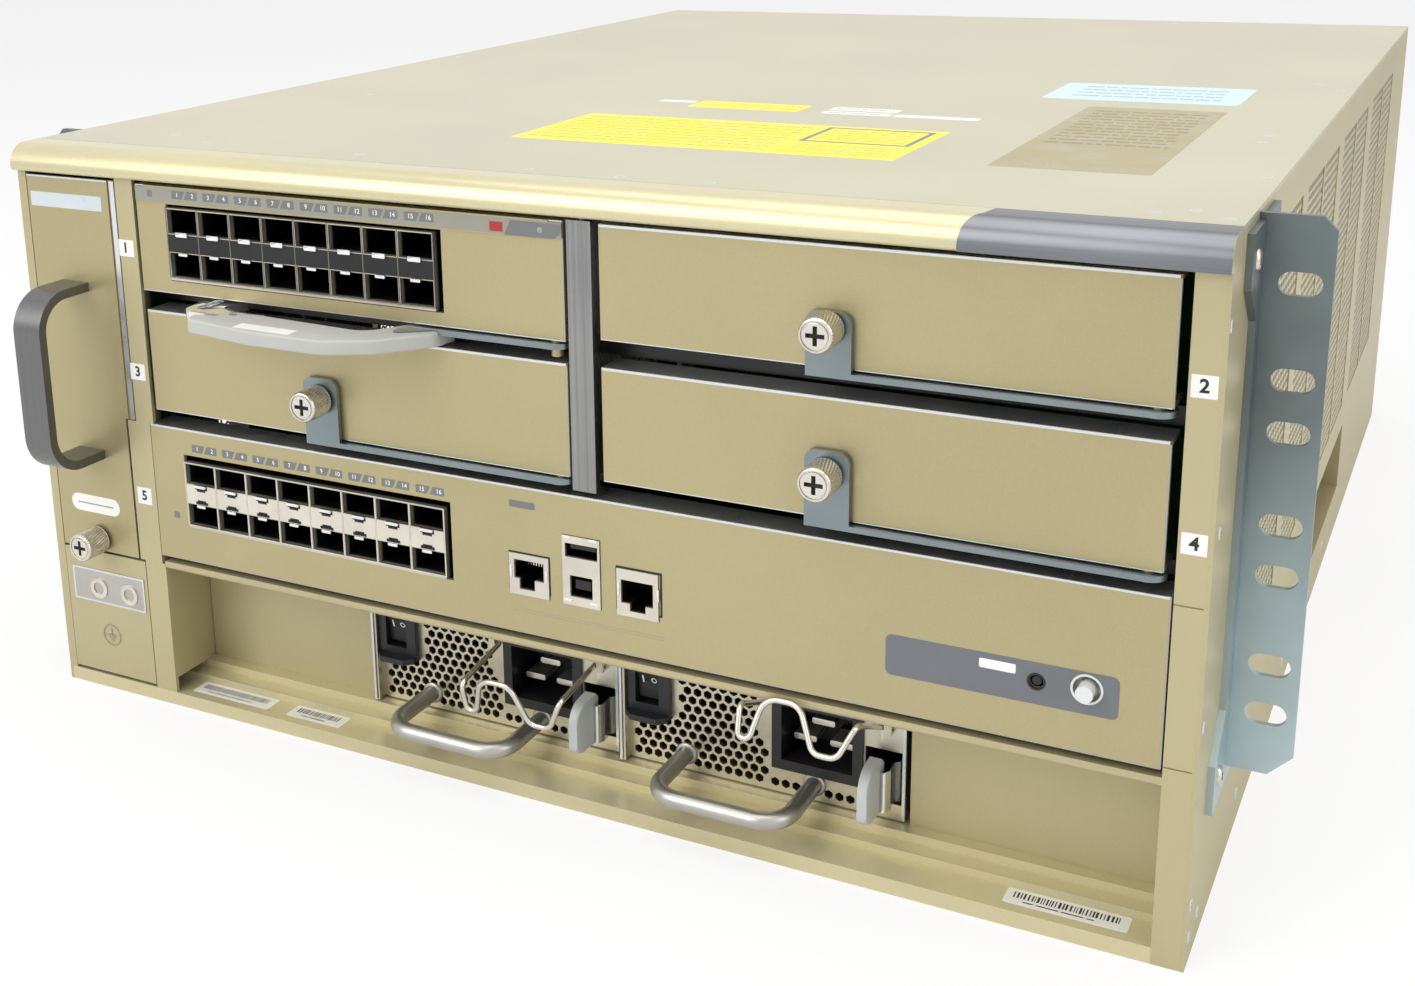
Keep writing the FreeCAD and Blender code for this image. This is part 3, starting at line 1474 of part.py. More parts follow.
def make_blank(number):
    """Cover, ejector lever and captive screw of one empty slot."""
    slot = f"slot_{number}"
    knob = (f"({slot}_width - tab_inset)", slot + "_knob")
    name = f"Slot{number}"
    left = slot + "_left"
    low = slot + "_low"
    settle(blank_cover(name + "Blank", slot, knob), slot + "_blank", left, low)
    settle(blank_lever(name + "Lever", slot, knob), slot + "_lever", left, low)
    captive_screw(name + "Screw", slot + "_screw", f"{left} + {knob[0]}", f"{low} + {knob[1]}",
                  "lever_front - knob_lift", "knob_tip")


# ---------------------------------------------------------------------------------------------------
# Power supplies, each built from its own lower left corner


def make_psu_case(number):
    """Open-fronted case with the pin of the latch strip."""
    body = new_body(f"Psu{number}Case")
    front = "psu_face + psu_face_thick"
    add(body, "XZ_Plane", f"-({front})", [rect("0", "psu_width", "psu_low", "psu_high")],
        f"psu_back - ({front})", flipped=True)
    trim(body, "XZ_Plane", f"-({front})",
         [rect("psu_wall", "psu_width - psu_wall", "psu_low + psu_wall", "psu_high - psu_wall")],
         f"psu_back - psu_wall - ({front})")
    stud(body, "XY_Plane", "psu_low + psu_wall / 2", ("latch_pin_x", "latch_pin_y"), "latch_pin_r",
         "latch_high - psu_low")
    settle(body, f"psu_{number}_case", f"psu_{number}_left")


def hex_cells(left, right, low, high, pitch):
    """Centres of a staggered field of cells between two edges."""
    rise = pitch * math.sqrt(3) / 2
    cells = []
    for line in range(int((high - low) / rise + EDGE_SLACK) + 1):
        start = left + (pitch / 2 if line % 2 else 0)
        count = int((right - start) / pitch + EDGE_SLACK) + 1
        cells += [(start + step * pitch, low + line * rise) for step in range(count)]
    return cells


def perforation(name):
    """Six-sided cutters for the perforated areas round the inlet and the switch."""
    radius = value_of("hex_across") / math.sqrt(3)
    depth = value_of("psu_face - psu_face_thick")
    reach = FreeCAD.Vector(0, value_of("3 * psu_face_thick"), 0)
    turns = [math.radians(60 * side) for side in range(6)]
    cells = []
    for field in ("low_field", "high_field", "side_field"):
        edges = [value_of(f"{field}_{edge}") for edge in ("left", "right", "low", "high")]
        cells += hex_cells(*edges, value_of("hex_pitch"))
    prisms = []
    for x, z in cells:
        corners = [FreeCAD.Vector(x + radius * math.sin(turn), depth, z + radius * math.cos(turn))
                   for turn in turns]
        prisms.append(Part.Face(Part.makePolygon(corners + corners[:1])).extrude(reach))
    item = doc.addObject("Part::Feature", name)
    item.Shape = Part.makeCompound(prisms)
    return item


def make_psu_face(number):
    """Perforated front with the inlet, switch and latch openings, edge strip and wire lugs."""
    name = f"Psu{number}Face"
    body = new_body(name + "Sheet")
    add(body, "XZ_Plane", "-psu_face", [
        rect("0", "psu_width", "psu_low", "psu_high"),
        rect("inlet_left", "inlet_right", "inlet_low", "inlet_high"),
        rect("switch_left", "switch_right", "switch_low", "switch_high"),
        rect("latch_left + latch_gap", "psu_width - psu_wall", "latch_low", "latch_high")],
        "psu_face_thick", flipped=True)
    add(body, "XZ_Plane", "-psu_face", [rect("edge_left", "edge_right", "psu_low", "psu_high")],
        "edge_proud")
    low, high = "bail_z - lug_half", "bail_z + lug_half"
    inner = "bail_left - lug_gap"
    outer = "bail_right + lug_gap"
    add(body, "XZ_Plane", "-psu_face", [rect(inner + " - lug_wide", inner, low, high),
                                        rect(outer, outer + " + lug_wide", low, high)],
        "psu_face - bail_y + lug_half")
    drill(body, "YZ_Plane", inner + " - lug_wide", [("bail_y", "bail_z")], "bail_hole_r", "bail_bore",
          flipped=True)
    drill(body, "YZ_Plane", outer + " + lug_wide", [("bail_y", "bail_z")], "bail_hole_r", "bail_bore")
    settle(cut(name, body, perforation(name + "Perforation")), f"psu_{number}_face",
           f"psu_{number}_left")


def make_psu_inlet(number):
    """Power inlet with three flat pins."""
    body = new_body(f"Psu{number}Inlet")
    add(body, "XZ_Plane", "-inlet_front", [rect("inlet_left", "inlet_right", "inlet_low", "inlet_high")],
        "inlet_back - inlet_front", flipped=True)
    trim(body, "XZ_Plane", "-inlet_front",
         [rect("inlet_mid - mouth_half", "inlet_mid + mouth_half", "mouth_low", "mouth_high")],
         "mouth_back - inlet_front")
    left = "inlet_mid - pin_off"
    right = "inlet_mid + pin_off"
    add(body, "XZ_Plane", "-pin_front", [
        rect(left + " - pin_wide", left, "pin_level", "pin_level + pin_thick"),
        rect(right, right + " + pin_wide", "pin_level", "pin_level + pin_thick"),
        rect("inlet_mid - pin_wide / 2", "inlet_mid + pin_wide / 2", "earth_level",
             "earth_level + pin_thick")], "mouth_back - pin_front", flipped=True)
    settle(body, f"psu_{number}_inlet", f"psu_{number}_left")


def make_psu_switch(number):
    """Switch housing with side bearings and the guard lip below."""
    body = new_body(f"Psu{number}Switch")
    add(body, "XZ_Plane", "-switch_front",
        [rect("switch_left", "switch_right", "switch_low", "switch_high")],
        "switch_back - switch_front", flipped=True)
    add(body, "XY_Plane", "guard_low", [[
        ("switch_left", "guard_back"), ("switch_left", "guard_front + guard_slant"),
        ("switch_left + guard_slant", "guard_front"), ("switch_right - guard_slant", "guard_front"),
        ("switch_right", "guard_front + guard_slant"), ("switch_right", "guard_back")]],
        "guard_high - guard_low")
    trim(body, "XZ_Plane", "-switch_front", [rect("well_left", "well_right", "well_low", "well_high")],
         "switch_back - switch_front - well_floor")
    drill(body, "YZ_Plane", "rocker_left - rocker_pin - rocker_play", [("rocker_y", "rocker_z")],
          "rocker_bore_r", "rocker_wide + 2 * (rocker_pin + rocker_play)", flipped=True)
    settle(body, f"psu_{number}_switch", f"psu_{number}_left")


def make_psu_rocker(number):
    """Rocker with the upper half out, on its own pin."""
    body = new_body(f"Psu{number}Rocker")
    add(body, "YZ_Plane", "rocker_left", [[
        ("rocker_y - 5.44", "rocker_z + 5.39"), ("rocker_y - 3.33", "rocker_z - 0.71"),
        ("rocker_y - 2.78", "rocker_z - 7.13"), ("rocker_y + 4.07", "rocker_z - 4.76"),
        ("rocker_y + 3.2", "rocker_z + 0.7"), ("rocker_y + 1.79", "rocker_z + 6")]], "rocker_wide")
    stud(body, "YZ_Plane", "rocker_left - rocker_pin", ("rocker_y", "rocker_z"), "rocker_pin_r",
         "rocker_wide + 2 * rocker_pin")
    settle(body, f"psu_{number}_rocker", f"psu_{number}_left")


def swept_bar(name, points, start, radius, sides=0):
    """Bar swept along straight runs with mitred corners; round, or with a given number of sides."""
    if sides:
        turns = [2 * math.pi * side / sides for side in range(sides + 1)]
        ring = Part.makePolygon([points[0] + radius * (math.cos(turn) * start[0] + math.sin(turn) * start[1])
                                 for turn in turns])
    else:
        ring = Part.Wire(Part.Circle(points[0], start[0].cross(start[1]), radius).toShape())
    item = doc.addObject("Part::Feature", name)
    item.Shape = Part.makePolygon(points).makePipeShell([ring], True, False, 1)
    return item


def make_psu_bail(number):
    """Wire cord retainer with round pivots, turned about them to its resting angle."""
    name = f"Psu{number}Bail"
    left, right, wire = (value_of(text) for text in ("bail_left", "bail_right", "bail_wire_r"))
    reach, dip, rise = (-value_of(text) for text in ("bail_reach", "bail_dip", "-bail_rise"))
    route = [(left - wire, 0, 0), (left, 0, 0), (left, reach, 0), (left + 1, reach, dip),
             (left + 4.5, reach, dip), (left + 7, reach, rise), (left + 20, reach, rise),
             (left + 26.5, reach, dip), (left + 35, reach, dip), (right, reach, rise / 2),
             (right, 0, 0), (right + wire, 0, 0)]
    points = [FreeCAD.Vector(*point) for point in route]
    square = (FreeCAD.Vector(0, 1, 0), FreeCAD.Vector(0, 0, 1))
    parts = [swept_bar(name + "Wire", points, square, value_of("0.96 * bail_wire_r"), 8),
             rod(name + "PinLeft", "x", ("bail_left - bail_stub", "0", "0"), "bail_stub", "bail_wire_r"),
             rod(name + "PinRight", "x", ("bail_right", "0", "0"), "bail_stub", "bail_wire_r")]
    item = fuse(name, *parts)
    turn = FreeCAD.Rotation(FreeCAD.Vector(1, 0, 0), -value_of(f"bail_{number}_tilt"))
    item.Placement = FreeCAD.Placement(FreeCAD.Vector(), turn)
    settle(item, f"psu_{number}_bail", f"psu_{number}_left", "bail_z")
    item.setExpression("Placement.Base.y", bound("bail_y - body_depth / 2"))


def make_psu_handle(number):
    """Round pull bar with two feet on the face, bent in short straight steps."""
    left, right, front, bend, face = (value_of(text) for text in (
        "rod_left", "rod_right", "rod_front", "rod_bend", "psu_face"))
    turns = [math.radians(degrees) for degrees in (15, 45, 75)]
    wide = bend / math.cos(turns[0])
    curl = [(left + bend - wide * math.cos(turn), front + bend - wide * math.sin(turn)) for turn in turns]
    back = [(left + right - x, y) for x, y in reversed(curl)]
    points = [FreeCAD.Vector(x, y, 0) for x, y in [(left, face)] + curl + back + [(right, face)]]
    level = (FreeCAD.Vector(0, 0, 1), FreeCAD.Vector(1, 0, 0))
    settle(swept_bar(f"Psu{number}Handle", points, level, value_of("rod_r")), f"psu_{number}_handle",
           f"psu_{number}_left", "rod_z")


def make_psu_latch(number):
    """Spring strip on a rear pin with a barbed hook and a finger tab."""
    body = new_body(f"Psu{number}Latch")
    add(body, "XY_Plane", "strip_low", [rect("strip_left", "strip_right", "strip_front", "latch_pin_y")],
        "strip_high - strip_low")
    stud(body, "XY_Plane", "strip_low", ("latch_pin_x", "latch_pin_y"), "latch_eye_r",
         "strip_high - strip_low")
    add(body, "XY_Plane", "barb_low", [[
        ("strip_right", "barb_front"), ("barb_right", "barb_back"), ("strip_right", "barb_back")]],
        "barb_high - barb_low")
    add(body, "XY_Plane", "tab_low", [rect("tab_left", "tab_right", "tab_front", "tab_back")],
        "tab_high - tab_low")
    drill(body, "XY_Plane", "strip_low", [("latch_pin_x", "latch_pin_y")], "latch_bore_r",
          "strip_high - strip_low", flipped=True)
    settle(body, f"psu_{number}_latch", f"psu_{number}_left")


def build():
    """Make every sub-part in turn."""
    make_base_tray()
    make_side_panels()
    make_top_cover()
    make_rear_panel()
    make_front_bezel()
    make_left_cage_wall()
    make_right_cage_wall()
    make_center_divider()
    make_psu_deck()
    make_ground_panel()
    make_psu_blanks()
    make_midplane()
    make_rack_brackets()
    make_bracket_screws()
    make_supervisor_faceplate()
    make_supervisor_board()
    make_supervisor_cages()
    make_service_jacks()
    make_buttons()
    make_fan_tray()
    make_fan_tray_handle()
    make_fan_frames()
    for number in (1, 2, 3):
        make_fan_rotor(number)
    captive_screw("FanTrayScrew", "fan_tray_screw", "tray_screw_x", "tray_screw_z", "-knob_lift",
                  "tray_knob_tip")
    make_port_card_faceplate()
    make_port_card_board()
    make_port_card_cages()
    make_port_card_lever()
    make_port_card_lever_grip()
    make_port_card_latch()
    for number in (2, 3, 4):
        make_blank(number)
    for number in (1, 2):
        make_psu_case(number)
        make_psu_face(number)
        make_psu_inlet(number)
        make_psu_switch(number)
        make_psu_rocker(number)
        make_psu_bail(number)
        make_psu_handle(number)
        make_psu_latch(number)


def check_states():
    """Stop when any object failed or any finished shape is not sound."""
    for item in doc.Objects:
        if "Invalid" in item.State or "Error" in item.State:
            raise RuntimeError(f"{item.Label} did not compute: {item.State}")
    for item in nodes:
        shape = item.Shape
        if shape.isNull() or not shape.isValid() or not shape.Solids:
            raise RuntimeError(f"{item.Label} has no sound solid")
        if shape.Volume <= 0:
            raise RuntimeError(f"{item.Label} is inside out")


build()
doc.recompute()
check_states()
os.makedirs("parts", exist_ok=True)
for node in nodes:
    node.Shape.exportStep(f"parts/{node.Label}.step")
print(f"{len(nodes)} sub-parts written")
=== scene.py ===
"""Looks of a modular network chassis switch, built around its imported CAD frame.

Distances are written in millimetres: X from the chassis centre, Y behind the front plane,
Z above the underside. at() turns them into the row frame's metres.
"""
from math import cos, radians, sin, sqrt, tan, tau

import bmesh
import bpy
from mathutils import Matrix, Vector
from mathutils.bvhtree import BVHTree


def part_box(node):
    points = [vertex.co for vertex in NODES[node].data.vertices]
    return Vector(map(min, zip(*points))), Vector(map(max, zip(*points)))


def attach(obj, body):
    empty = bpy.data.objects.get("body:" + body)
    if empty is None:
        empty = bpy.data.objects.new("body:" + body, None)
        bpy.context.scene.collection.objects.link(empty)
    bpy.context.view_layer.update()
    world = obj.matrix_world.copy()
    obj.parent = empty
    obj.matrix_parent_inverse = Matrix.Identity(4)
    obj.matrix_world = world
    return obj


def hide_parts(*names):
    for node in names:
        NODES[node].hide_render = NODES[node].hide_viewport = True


MM = 0.001
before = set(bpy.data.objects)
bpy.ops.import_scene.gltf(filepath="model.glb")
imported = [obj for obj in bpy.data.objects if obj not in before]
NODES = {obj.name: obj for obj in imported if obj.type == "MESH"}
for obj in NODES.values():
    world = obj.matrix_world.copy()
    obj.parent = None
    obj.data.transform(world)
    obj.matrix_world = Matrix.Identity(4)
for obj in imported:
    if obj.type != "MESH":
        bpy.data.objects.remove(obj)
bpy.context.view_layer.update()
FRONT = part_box("base_tray")[0].y


def at(x, y, z):
    return Vector((x * MM, FRONT + y * MM, z * MM))


# ---- materials
def new_material(name):
    mat = bpy.data.materials.new(name)
    mat.use_nodes = True
    tree = mat.node_tree
    tree.nodes.clear()
    out = tree.nodes.new("ShaderNodeOutputMaterial")
    shader = tree.nodes.new("ShaderNodeBsdfPrincipled")
    tree.links.new(shader.outputs["BSDF"], out.inputs["Surface"])
    return mat, tree, shader


def node(tree, kind, **values):
    made = tree.nodes.new(kind)
    for key, value in values.items():
        if hasattr(made, key):
            setattr(made, key, value)
        else:
            made.inputs[key.replace("_", " ")].default_value = value
    return made


def feed(tree, socket, value):
    """Link a node's output to a socket, or set the socket to a number or a colour."""
    if isinstance(value, bpy.types.NodeSocket):
        tree.links.new(value, socket)
    elif isinstance(value, tuple):
        socket.default_value = (*value, 1)
    else:
        socket.default_value = value


def object_space(tree, stretch=(1, 1, 1)):
    coords = tree.nodes.new("ShaderNodeTexCoord")
    mapping = tree.nodes.new("ShaderNodeMapping")
    mapping.inputs["Scale"].default_value = stretch
    tree.links.new(coords.outputs["Object"], mapping.inputs["Vector"])
    return mapping.outputs["Vector"]


def object_axes(tree):
    """Object coordinates, whole and split into X, Y and Z."""
    vector = tree.nodes.new("ShaderNodeTexCoord").outputs["Object"]
    split = tree.nodes.new("ShaderNodeSeparateXYZ")
    tree.links.new(vector, split.inputs["Vector"])
    return vector, split.outputs


def noise(tree, vector, scale, detail, rough=0.5):
    made = node(tree, "ShaderNodeTexNoise", Scale=scale, Detail=detail, Roughness=rough)
    tree.links.new(vector, made.inputs["Vector"])
    return made.outputs["Fac"]


def spread(tree, value, low, high, start=0.3, end=0.7):
    """Map a value between start and end to the span from low to high."""
    made = node(tree, "ShaderNodeMapRange")
    for key, number in zip(("From Min", "From Max", "To Min", "To Max"), (start, end, low, high)):
        made.inputs[key].default_value = number
    tree.links.new(value, made.inputs["Value"])
    return made.outputs["Result"]


def maths(tree, operation, *values):
    made = node(tree, "ShaderNodeMath", operation=operation)
    for socket, value in zip(made.inputs, values):
        feed(tree, socket, value)
    return made.outputs["Value"]


def mix_colour(tree, factor, first, second, blend="MIX"):
    made = node(tree, "ShaderNodeMix", data_type="RGBA", blend_type=blend)
    for key, value in (("Factor", factor), ("A", first), ("B", second)):
        feed(tree, made.inputs[key], value)
    return made.outputs["Result"]


def srgb(r, g, b):
    return tuple(((c / 255 + 0.055) / 1.055) ** 2.4 if c > 10 else c / 255 / 12.92 for c in (r, g, b))


def shade(colour, factor):
    return tuple(min(1.0, c * factor) for c in colour)


def mottled(tree, value, colour, low, high):
    """One colour varied between two brightnesses by a noise value."""
    return mix_colour(tree, spread(tree, value, 0, 1), shade(colour, low), shade(colour, high))


def surface(tree, shader, colour, rough, metallic=0.0):
    tree.links.new(colour, shader.inputs["Base Color"])
    tree.links.new(rough, shader.inputs["Roughness"])
    feed(tree, shader.inputs["Metallic"], metallic)


def bump(tree, shader, height, strength, distance):
    made = node(tree, "ShaderNodeBump", Strength=strength, Distance=distance)
    tree.links.new(height, made.inputs["Height"])
    tree.links.new(made.outputs["Normal"], shader.inputs["Normal"])


def paint(name, rgb, rough, metallic=0.35, mottle=0.05):
    """Satin metallic powder coat: slow mottling, fine flake and a slight orange peel."""
    mat, tree, shader = new_material(name)
    vector = object_space(tree)
    slow = noise(tree, vector, 9.0, 4.0)
    base = mottled(tree, slow, srgb(*rgb), 1 - mottle, 1 + mottle)
    flakes = spread(tree, noise(tree, vector, 1500.0, 1.0), 0, 1)
    tint = mix_colour(tree, flakes, (0.95, 0.95, 0.95), (1.0, 1.0, 1.0))
    colour = mix_colour(tree, 1.0, base, tint, "MULTIPLY")
    surface(tree, shader, colour, spread(tree, slow, rough - 0.05, rough + 0.06), metallic)
    bump(tree, shader, noise(tree, vector, 700.0, 2.0), 0.1, 0.0001)
    return mat


def brushed(name, rgb, rough, along, contrast):
    """Sheet metal drawn along one axis: long fine streaks in colour, roughness and bump."""
    mat, tree, shader = new_material(name)
    colour = srgb(*rgb)
    stretch = {"x": (6, 900, 900), "y": (900, 6, 900), "z": (900, 900, 6)}[along]
    streak = noise(tree, object_space(tree, stretch), 1.0, 4.0, 0.6)
    slow = noise(tree, object_space(tree), 14.0, 3.0)
    factor = spread(tree, maths(tree, "ADD", streak, slow), 0, 1, 0.75, 1.25)
    drawn = mix_colour(tree, factor, shade(colour, 1 - contrast), shade(colour, 1 + contrast))
    surface(tree, shader, drawn, spread(tree, streak, rough - 0.06, rough + 0.1), 0.95)
    bump(tree, shader, streak, 0.2, 0.00005)
    return mat


def plated(name, rgb, rough, tint=(1, 1, 1), patch=0.12, scale=60.0):
    """Plated steel: cloudy patches of tint over a bright coat, with small specks."""
    mat, tree, shader = new_material(name)
    colour = srgb(*rgb)
    vector = object_space(tree)
    cloud = noise(tree, vector, scale, 5.0, 0.6)
    other = tuple(c * t * (1 - patch) for c, t in zip(colour, tint))
    coat = mix_colour(tree, spread(tree, cloud, 0, 1), other, shade(colour, 1 + patch))
    surface(tree, shader, coat, spread(tree, cloud, rough - 0.06, rough + 0.1), 0.9)
    bump(tree, shader, noise(tree, vector, 900.0, 2.0), 0.08, 0.00005)
    return mat


def plastic(name, rgb, rough, mottle=0.06, grain=0.15, scale=500.0):
    """Moulded plastic: fine spark-erosion texture and slow colour change."""
    mat, tree, shader = new_material(name)
    vector = object_space(tree)
    slow = noise(tree, vector, 30.0, 3.0)
    colour = mottled(tree, slow, srgb(*rgb), 1 - mottle, 1 + mottle)
    surface(tree, shader, colour, spread(tree, slow, rough - 0.05, rough + 0.08))
    bump(tree, shader, noise(tree, vector, scale, 2.0), grain, 0.00008)
    return mat


def depth_shaded(name, rgb, inner, start, end):
    """Sheet metal that falls to shadow between two depths behind the front plane."""
    mat, tree, shader = new_material(name)
    vector, axes = object_axes(tree)
    fall = spread(tree, axes["Y"], 0, 1, FRONT + start * MM, FRONT + end * MM)
    cloud = noise(tree, vector, 60.0, 4.0)
    colour = mix_colour(tree, fall, mottled(tree, cloud, srgb(*rgb), 0.88, 1.1), srgb(*inner))
    surface(tree, shader, colour, spread(tree, cloud, 0.3, 0.47), spread(tree, fall, 0.85, 0.0, 0, 1))
    bump(tree, shader, noise(tree, vector, 900.0, 2.0), 0.06, 0.00005)
    return mat


def zinc_flange(name):
    """Blue-passivated zinc with cloudy patches, and a painted reflection of the surroundings: pale blue low
    on the flange, greyer towards the top.
    """
    mat, tree, shader = new_material(name)
    vector, axes = object_axes(tree)
    painted_reflection_rise = spread(tree, axes["Z"], 0, 1, 0.05, 0.17)
    cloud = noise(tree, vector, 30.0, 5.0, 0.6)
    factor = spread(tree, maths(tree, "MULTIPLY_ADD", cloud, 0.35, painted_reflection_rise), 0, 1, 0.15, 1.2)
    # Pale blue below, darker grey above: painted reflection.
    colour = mix_colour(tree, factor, srgb(172, 190, 193), srgb(106, 115, 116))
    surface(tree, shader, colour, spread(tree, cloud, 0.3, 0.44), 0.75)
    bump(tree, shader, noise(tree, vector, 900.0, 2.0), 0.08, 0.00005)
    return mat


def cage_paint(name, rgb):
    """Chassis paint that falls to shadow behind the front edges of the card cage."""
    mat, tree, shader = new_material(name)
    vector, axes = object_axes(tree)
    deep = spread(tree, axes["Y"], 0, 1, FRONT + 1.5 * MM, FRONT + 7 * MM)
    upper = spread(tree, axes["Z"], 0, 1, 0.058, 0.062)
    slow = noise(tree, vector, 9.0, 4.0)
    coat = mottled(tree, slow, srgb(*rgb), 0.95, 1.05)
    colour = mix_colour(tree, maths(tree, "MULTIPLY", deep, upper), coat, srgb(30, 30, 28))
    surface(tree, shader, colour, spread(tree, slow, 0.36, 0.46), 0.35)
    bump(tree, shader, noise(tree, vector, 700.0, 2.0), 0.1, 0.0001)
    return mat


def label_stock(name, rgb, rough=0.38):
    """Polyester label or print: faint blotches and a fine film texture."""
    mat, tree, shader = new_material(name)
    vector = object_space(tree)
    slow = noise(tree, vector, 60.0, 3.0)
    colour = mottled(tree, slow, srgb(*rgb), 0.96, 1.03)
    surface(tree, shader, colour, spread(tree, slow, rough - 0.05, rough + 0.08))
    bump(tree, shader, noise(tree, vector, 800.0, 2.0), 0.06, 0.00004)
    return mat


M = {
    "chassis": paint("chassis_beige", (180, 170, 133), rough=0.4),
    # The front shelf gets a lighter copy of the chassis beige: painted light for the stronger light it
    # catches from the front above.
    "base": paint("base_beige_painted_light", (204, 195, 158), rough=0.36),
    "cage_wall": cage_paint("cage_wall_beige", (180, 170, 133)),
    "top": paint("top_beige", (190, 186, 162), rough=0.42),
    "panel": paint("panel_beige", (172, 161, 122), rough=0.34, metallic=0.45),
    "gold": paint("bezel_champagne", (202, 194, 156), rough=0.3, metallic=0.4, mottle=0.03),
    "grey_band": brushed("bezel_grey", (118, 120, 124), rough=0.34, along="x", contrast=0.14),
    "post": brushed("divider_steel", (140, 140, 138), rough=0.26, along="z", contrast=0.2),
    "zinc": zinc_flange("blue_zinc_painted_reflection"),
    "lever": plated("lever_zinc", (128, 136, 138), rough=0.32, tint=(0.95, 1.01, 1.04), scale=24.0),
    "nickel": plated("nickel", (205, 200, 190), rough=0.2, scale=90.0),
    "chrome": plated("bright_chrome", (222, 222, 222), rough=0.12, patch=0.05, scale=120.0),
    "satin": plated("satin_bar", (176, 174, 168), rough=0.36, patch=0.08),
    "bare": plated("bare_edge", (206, 210, 212), rough=0.3, patch=0.03),
    "cut": plated("cut_edge", (158, 162, 164), rough=0.34, patch=0.05),
    "dim": plated("dim_edge", (120, 118, 108), rough=0.36, patch=0.06),
    "tin": plated("tin_plate", (206, 202, 190), rough=0.3, patch=0.08),
    "cage": depth_shaded("tin_cage", (190, 184, 170), (9, 9, 9), 0.4, 2.2),
    "jack": depth_shaded("tin_jack", (206, 200, 188), (10, 10, 10), -0.1, 0.6),
    "board": plastic("solder_mask", (20, 56, 36), rough=0.3),
    "black": plastic("black_plastic", (22, 23, 26), rough=0.4),
    "ink": plastic("black_ink", (18, 18, 20), rough=0.5, mottle=0.02, grain=0.05),
    # Painted shade: near-black standing for shadow in recess floors, dark gaps, notch openings, reveals and
    # the dark strip between the port card's rows.
    "painted_shade": plastic("shadow_black", (9, 9, 10), rough=0.6),
    "handle": brushed("handle_grey", (112, 113, 112), rough=0.34, along="z", contrast=0.1),
    "grip": plastic("moulded_grip", (176, 177, 172), rough=0.5, grain=0.2, scale=700.0),
    "pale": plastic("pale_plastic", (186, 190, 189), rough=0.45),
    "tray": brushed("tray_sheet", (190, 184, 166), rough=0.34, along="y", contrast=0.08),
    "mesh": paint("mesh_beige", (200, 192, 164), rough=0.45),
    "white": plastic("white_print", (238, 238, 234), rough=0.4, mottle=0.01, grain=0.03),
    "clear": plastic("button_white", (214, 216, 214), rough=0.15, mottle=0.06, grain=0.03),
    "label_white": label_stock("label_white", (232, 232, 228)),
    "label_line": label_stock("label_thin_print", (150, 152, 152)),
    "label_blue_grey": label_stock("label_blue_grey", (196, 206, 210), rough=0.3),
    "label_yellow": label_stock("label_yellow", (246, 224, 40)),
    "label_yellow_line": label_stock("label_yellow_print", (196, 178, 40)),
    "label_sky": label_stock("label_sky", (196, 218, 224)),
    "label_sky_line": label_stock("label_sky_print", (150, 176, 186)),
    "label_olive": label_stock("label_olive", (152, 140, 92), rough=0.28),
    "label_olive_line": label_stock("label_olive_print", (126, 116, 76)),
    "plate": label_stock("plate_grey", (104, 108, 112), rough=0.42),
    "tag": label_stock("tag_grey", (112, 114, 114)),
    "ledge": label_stock("ledge_grey", (146, 144, 132)),
    "crimson": label_stock("crimson_bar", (166, 38, 44)),
    "faint": label_stock("faint_print", (160, 150, 122)),
}

FINISHES = {
    "chassis": "left_side_panel right_side_panel rear_panel psu_deck ground_panel psu_blanks",
    "base": "base_tray",
    "cage_wall": "left_cage_wall right_cage_wall",
    "top": "top_cover",
    "panel": "supervisor_faceplate port_card_faceplate slot_2_blank slot_3_blank slot_4_blank fan_tray",
    "gold": "front_bezel",
    "post": "center_divider",
    "zinc": "rack_bracket_left rack_bracket_right",
    "lever": "port_card_lever slot_2_lever slot_3_lever slot_4_lever",
    "nickel": (
        "bracket_screws fan_tray_screw slot_2_screw slot_3_screw slot_4_screw port_card_latch "
        "psu_1_bail psu_2_bail psu_1_handle psu_2_handle"
    ),
    "cage": "supervisor_cages port_card_cages",
    "jack": "service_jacks",
    "board": "midplane supervisor_board port_card_board",
    "black": (
        "fan_frames fan_rotor_1 fan_rotor_2 fan_rotor_3 psu_1_inlet psu_2_inlet psu_1_switch "
        "psu_2_switch psu_1_rocker psu_2_rocker reset_button"
    ),
    "handle": "fan_tray_handle",
    "pale": "port_card_lever_grip psu_1_latch psu_2_latch",
    "tray": "psu_1_case psu_2_case psu_1_face psu_2_face",
    "clear": "locator_button",
}
for key, names in FINISHES.items():
    for name in names.split():
        NODES[name].data.materials.clear()
        NODES[name].data.materials.append(M[key])


# ---- planes and outlines
AXES = {
    "front": ((1, 0, 0), (0, 0, 1), (0, -1, 0)),
    "top": ((1, 0, 0), (0, 1, 0), (0, 0, 1)),
    "right": ((0, 1, 0), (0, 0, 1), (1, 0, 0)),
    "left": ((0, -1, 0), (0, 0, 1), (-1, 0, 0)),
}


def plane(kind, x, y, z):
    """Matrix from a plane's own millimetres (across, up, out) to the row frame."""
    turn = Matrix(AXES[kind]).transposed().to_4x4()
    return Matrix.Translation(at(x, y, z)) @ turn @ Matrix.Scale(MM, 4)


def front(x, y, z):
    return plane("front", x, y, z)


def rectangle(left, right, low, high, radius=0.0, steps=5):
    """Counter-clockwise rectangle, its corners rounded where radius is set."""
    if not radius:
        return [(left, low), (right, low), (right, high), (left, high)]
    corners = [(right - radius, low + radius, -90), (right - radius, high - radius, 0),
               (left + radius, high - radius, 90), (left + radius, low + radius, 180)]
    points = []
    for cx, cy, start in corners:
        for step in range(steps + 1):
            angle = radians(start + 90 * step / steps)
            points.append((cx + radius * cos(angle), cy + radius * sin(angle)))
    return points


def circle(radius, count, cx=0.0, cy=0.0):
    return [(cx + radius * cos(tau * i / count), cy + radius * sin(tau * i / count))
            for i in range(count)]


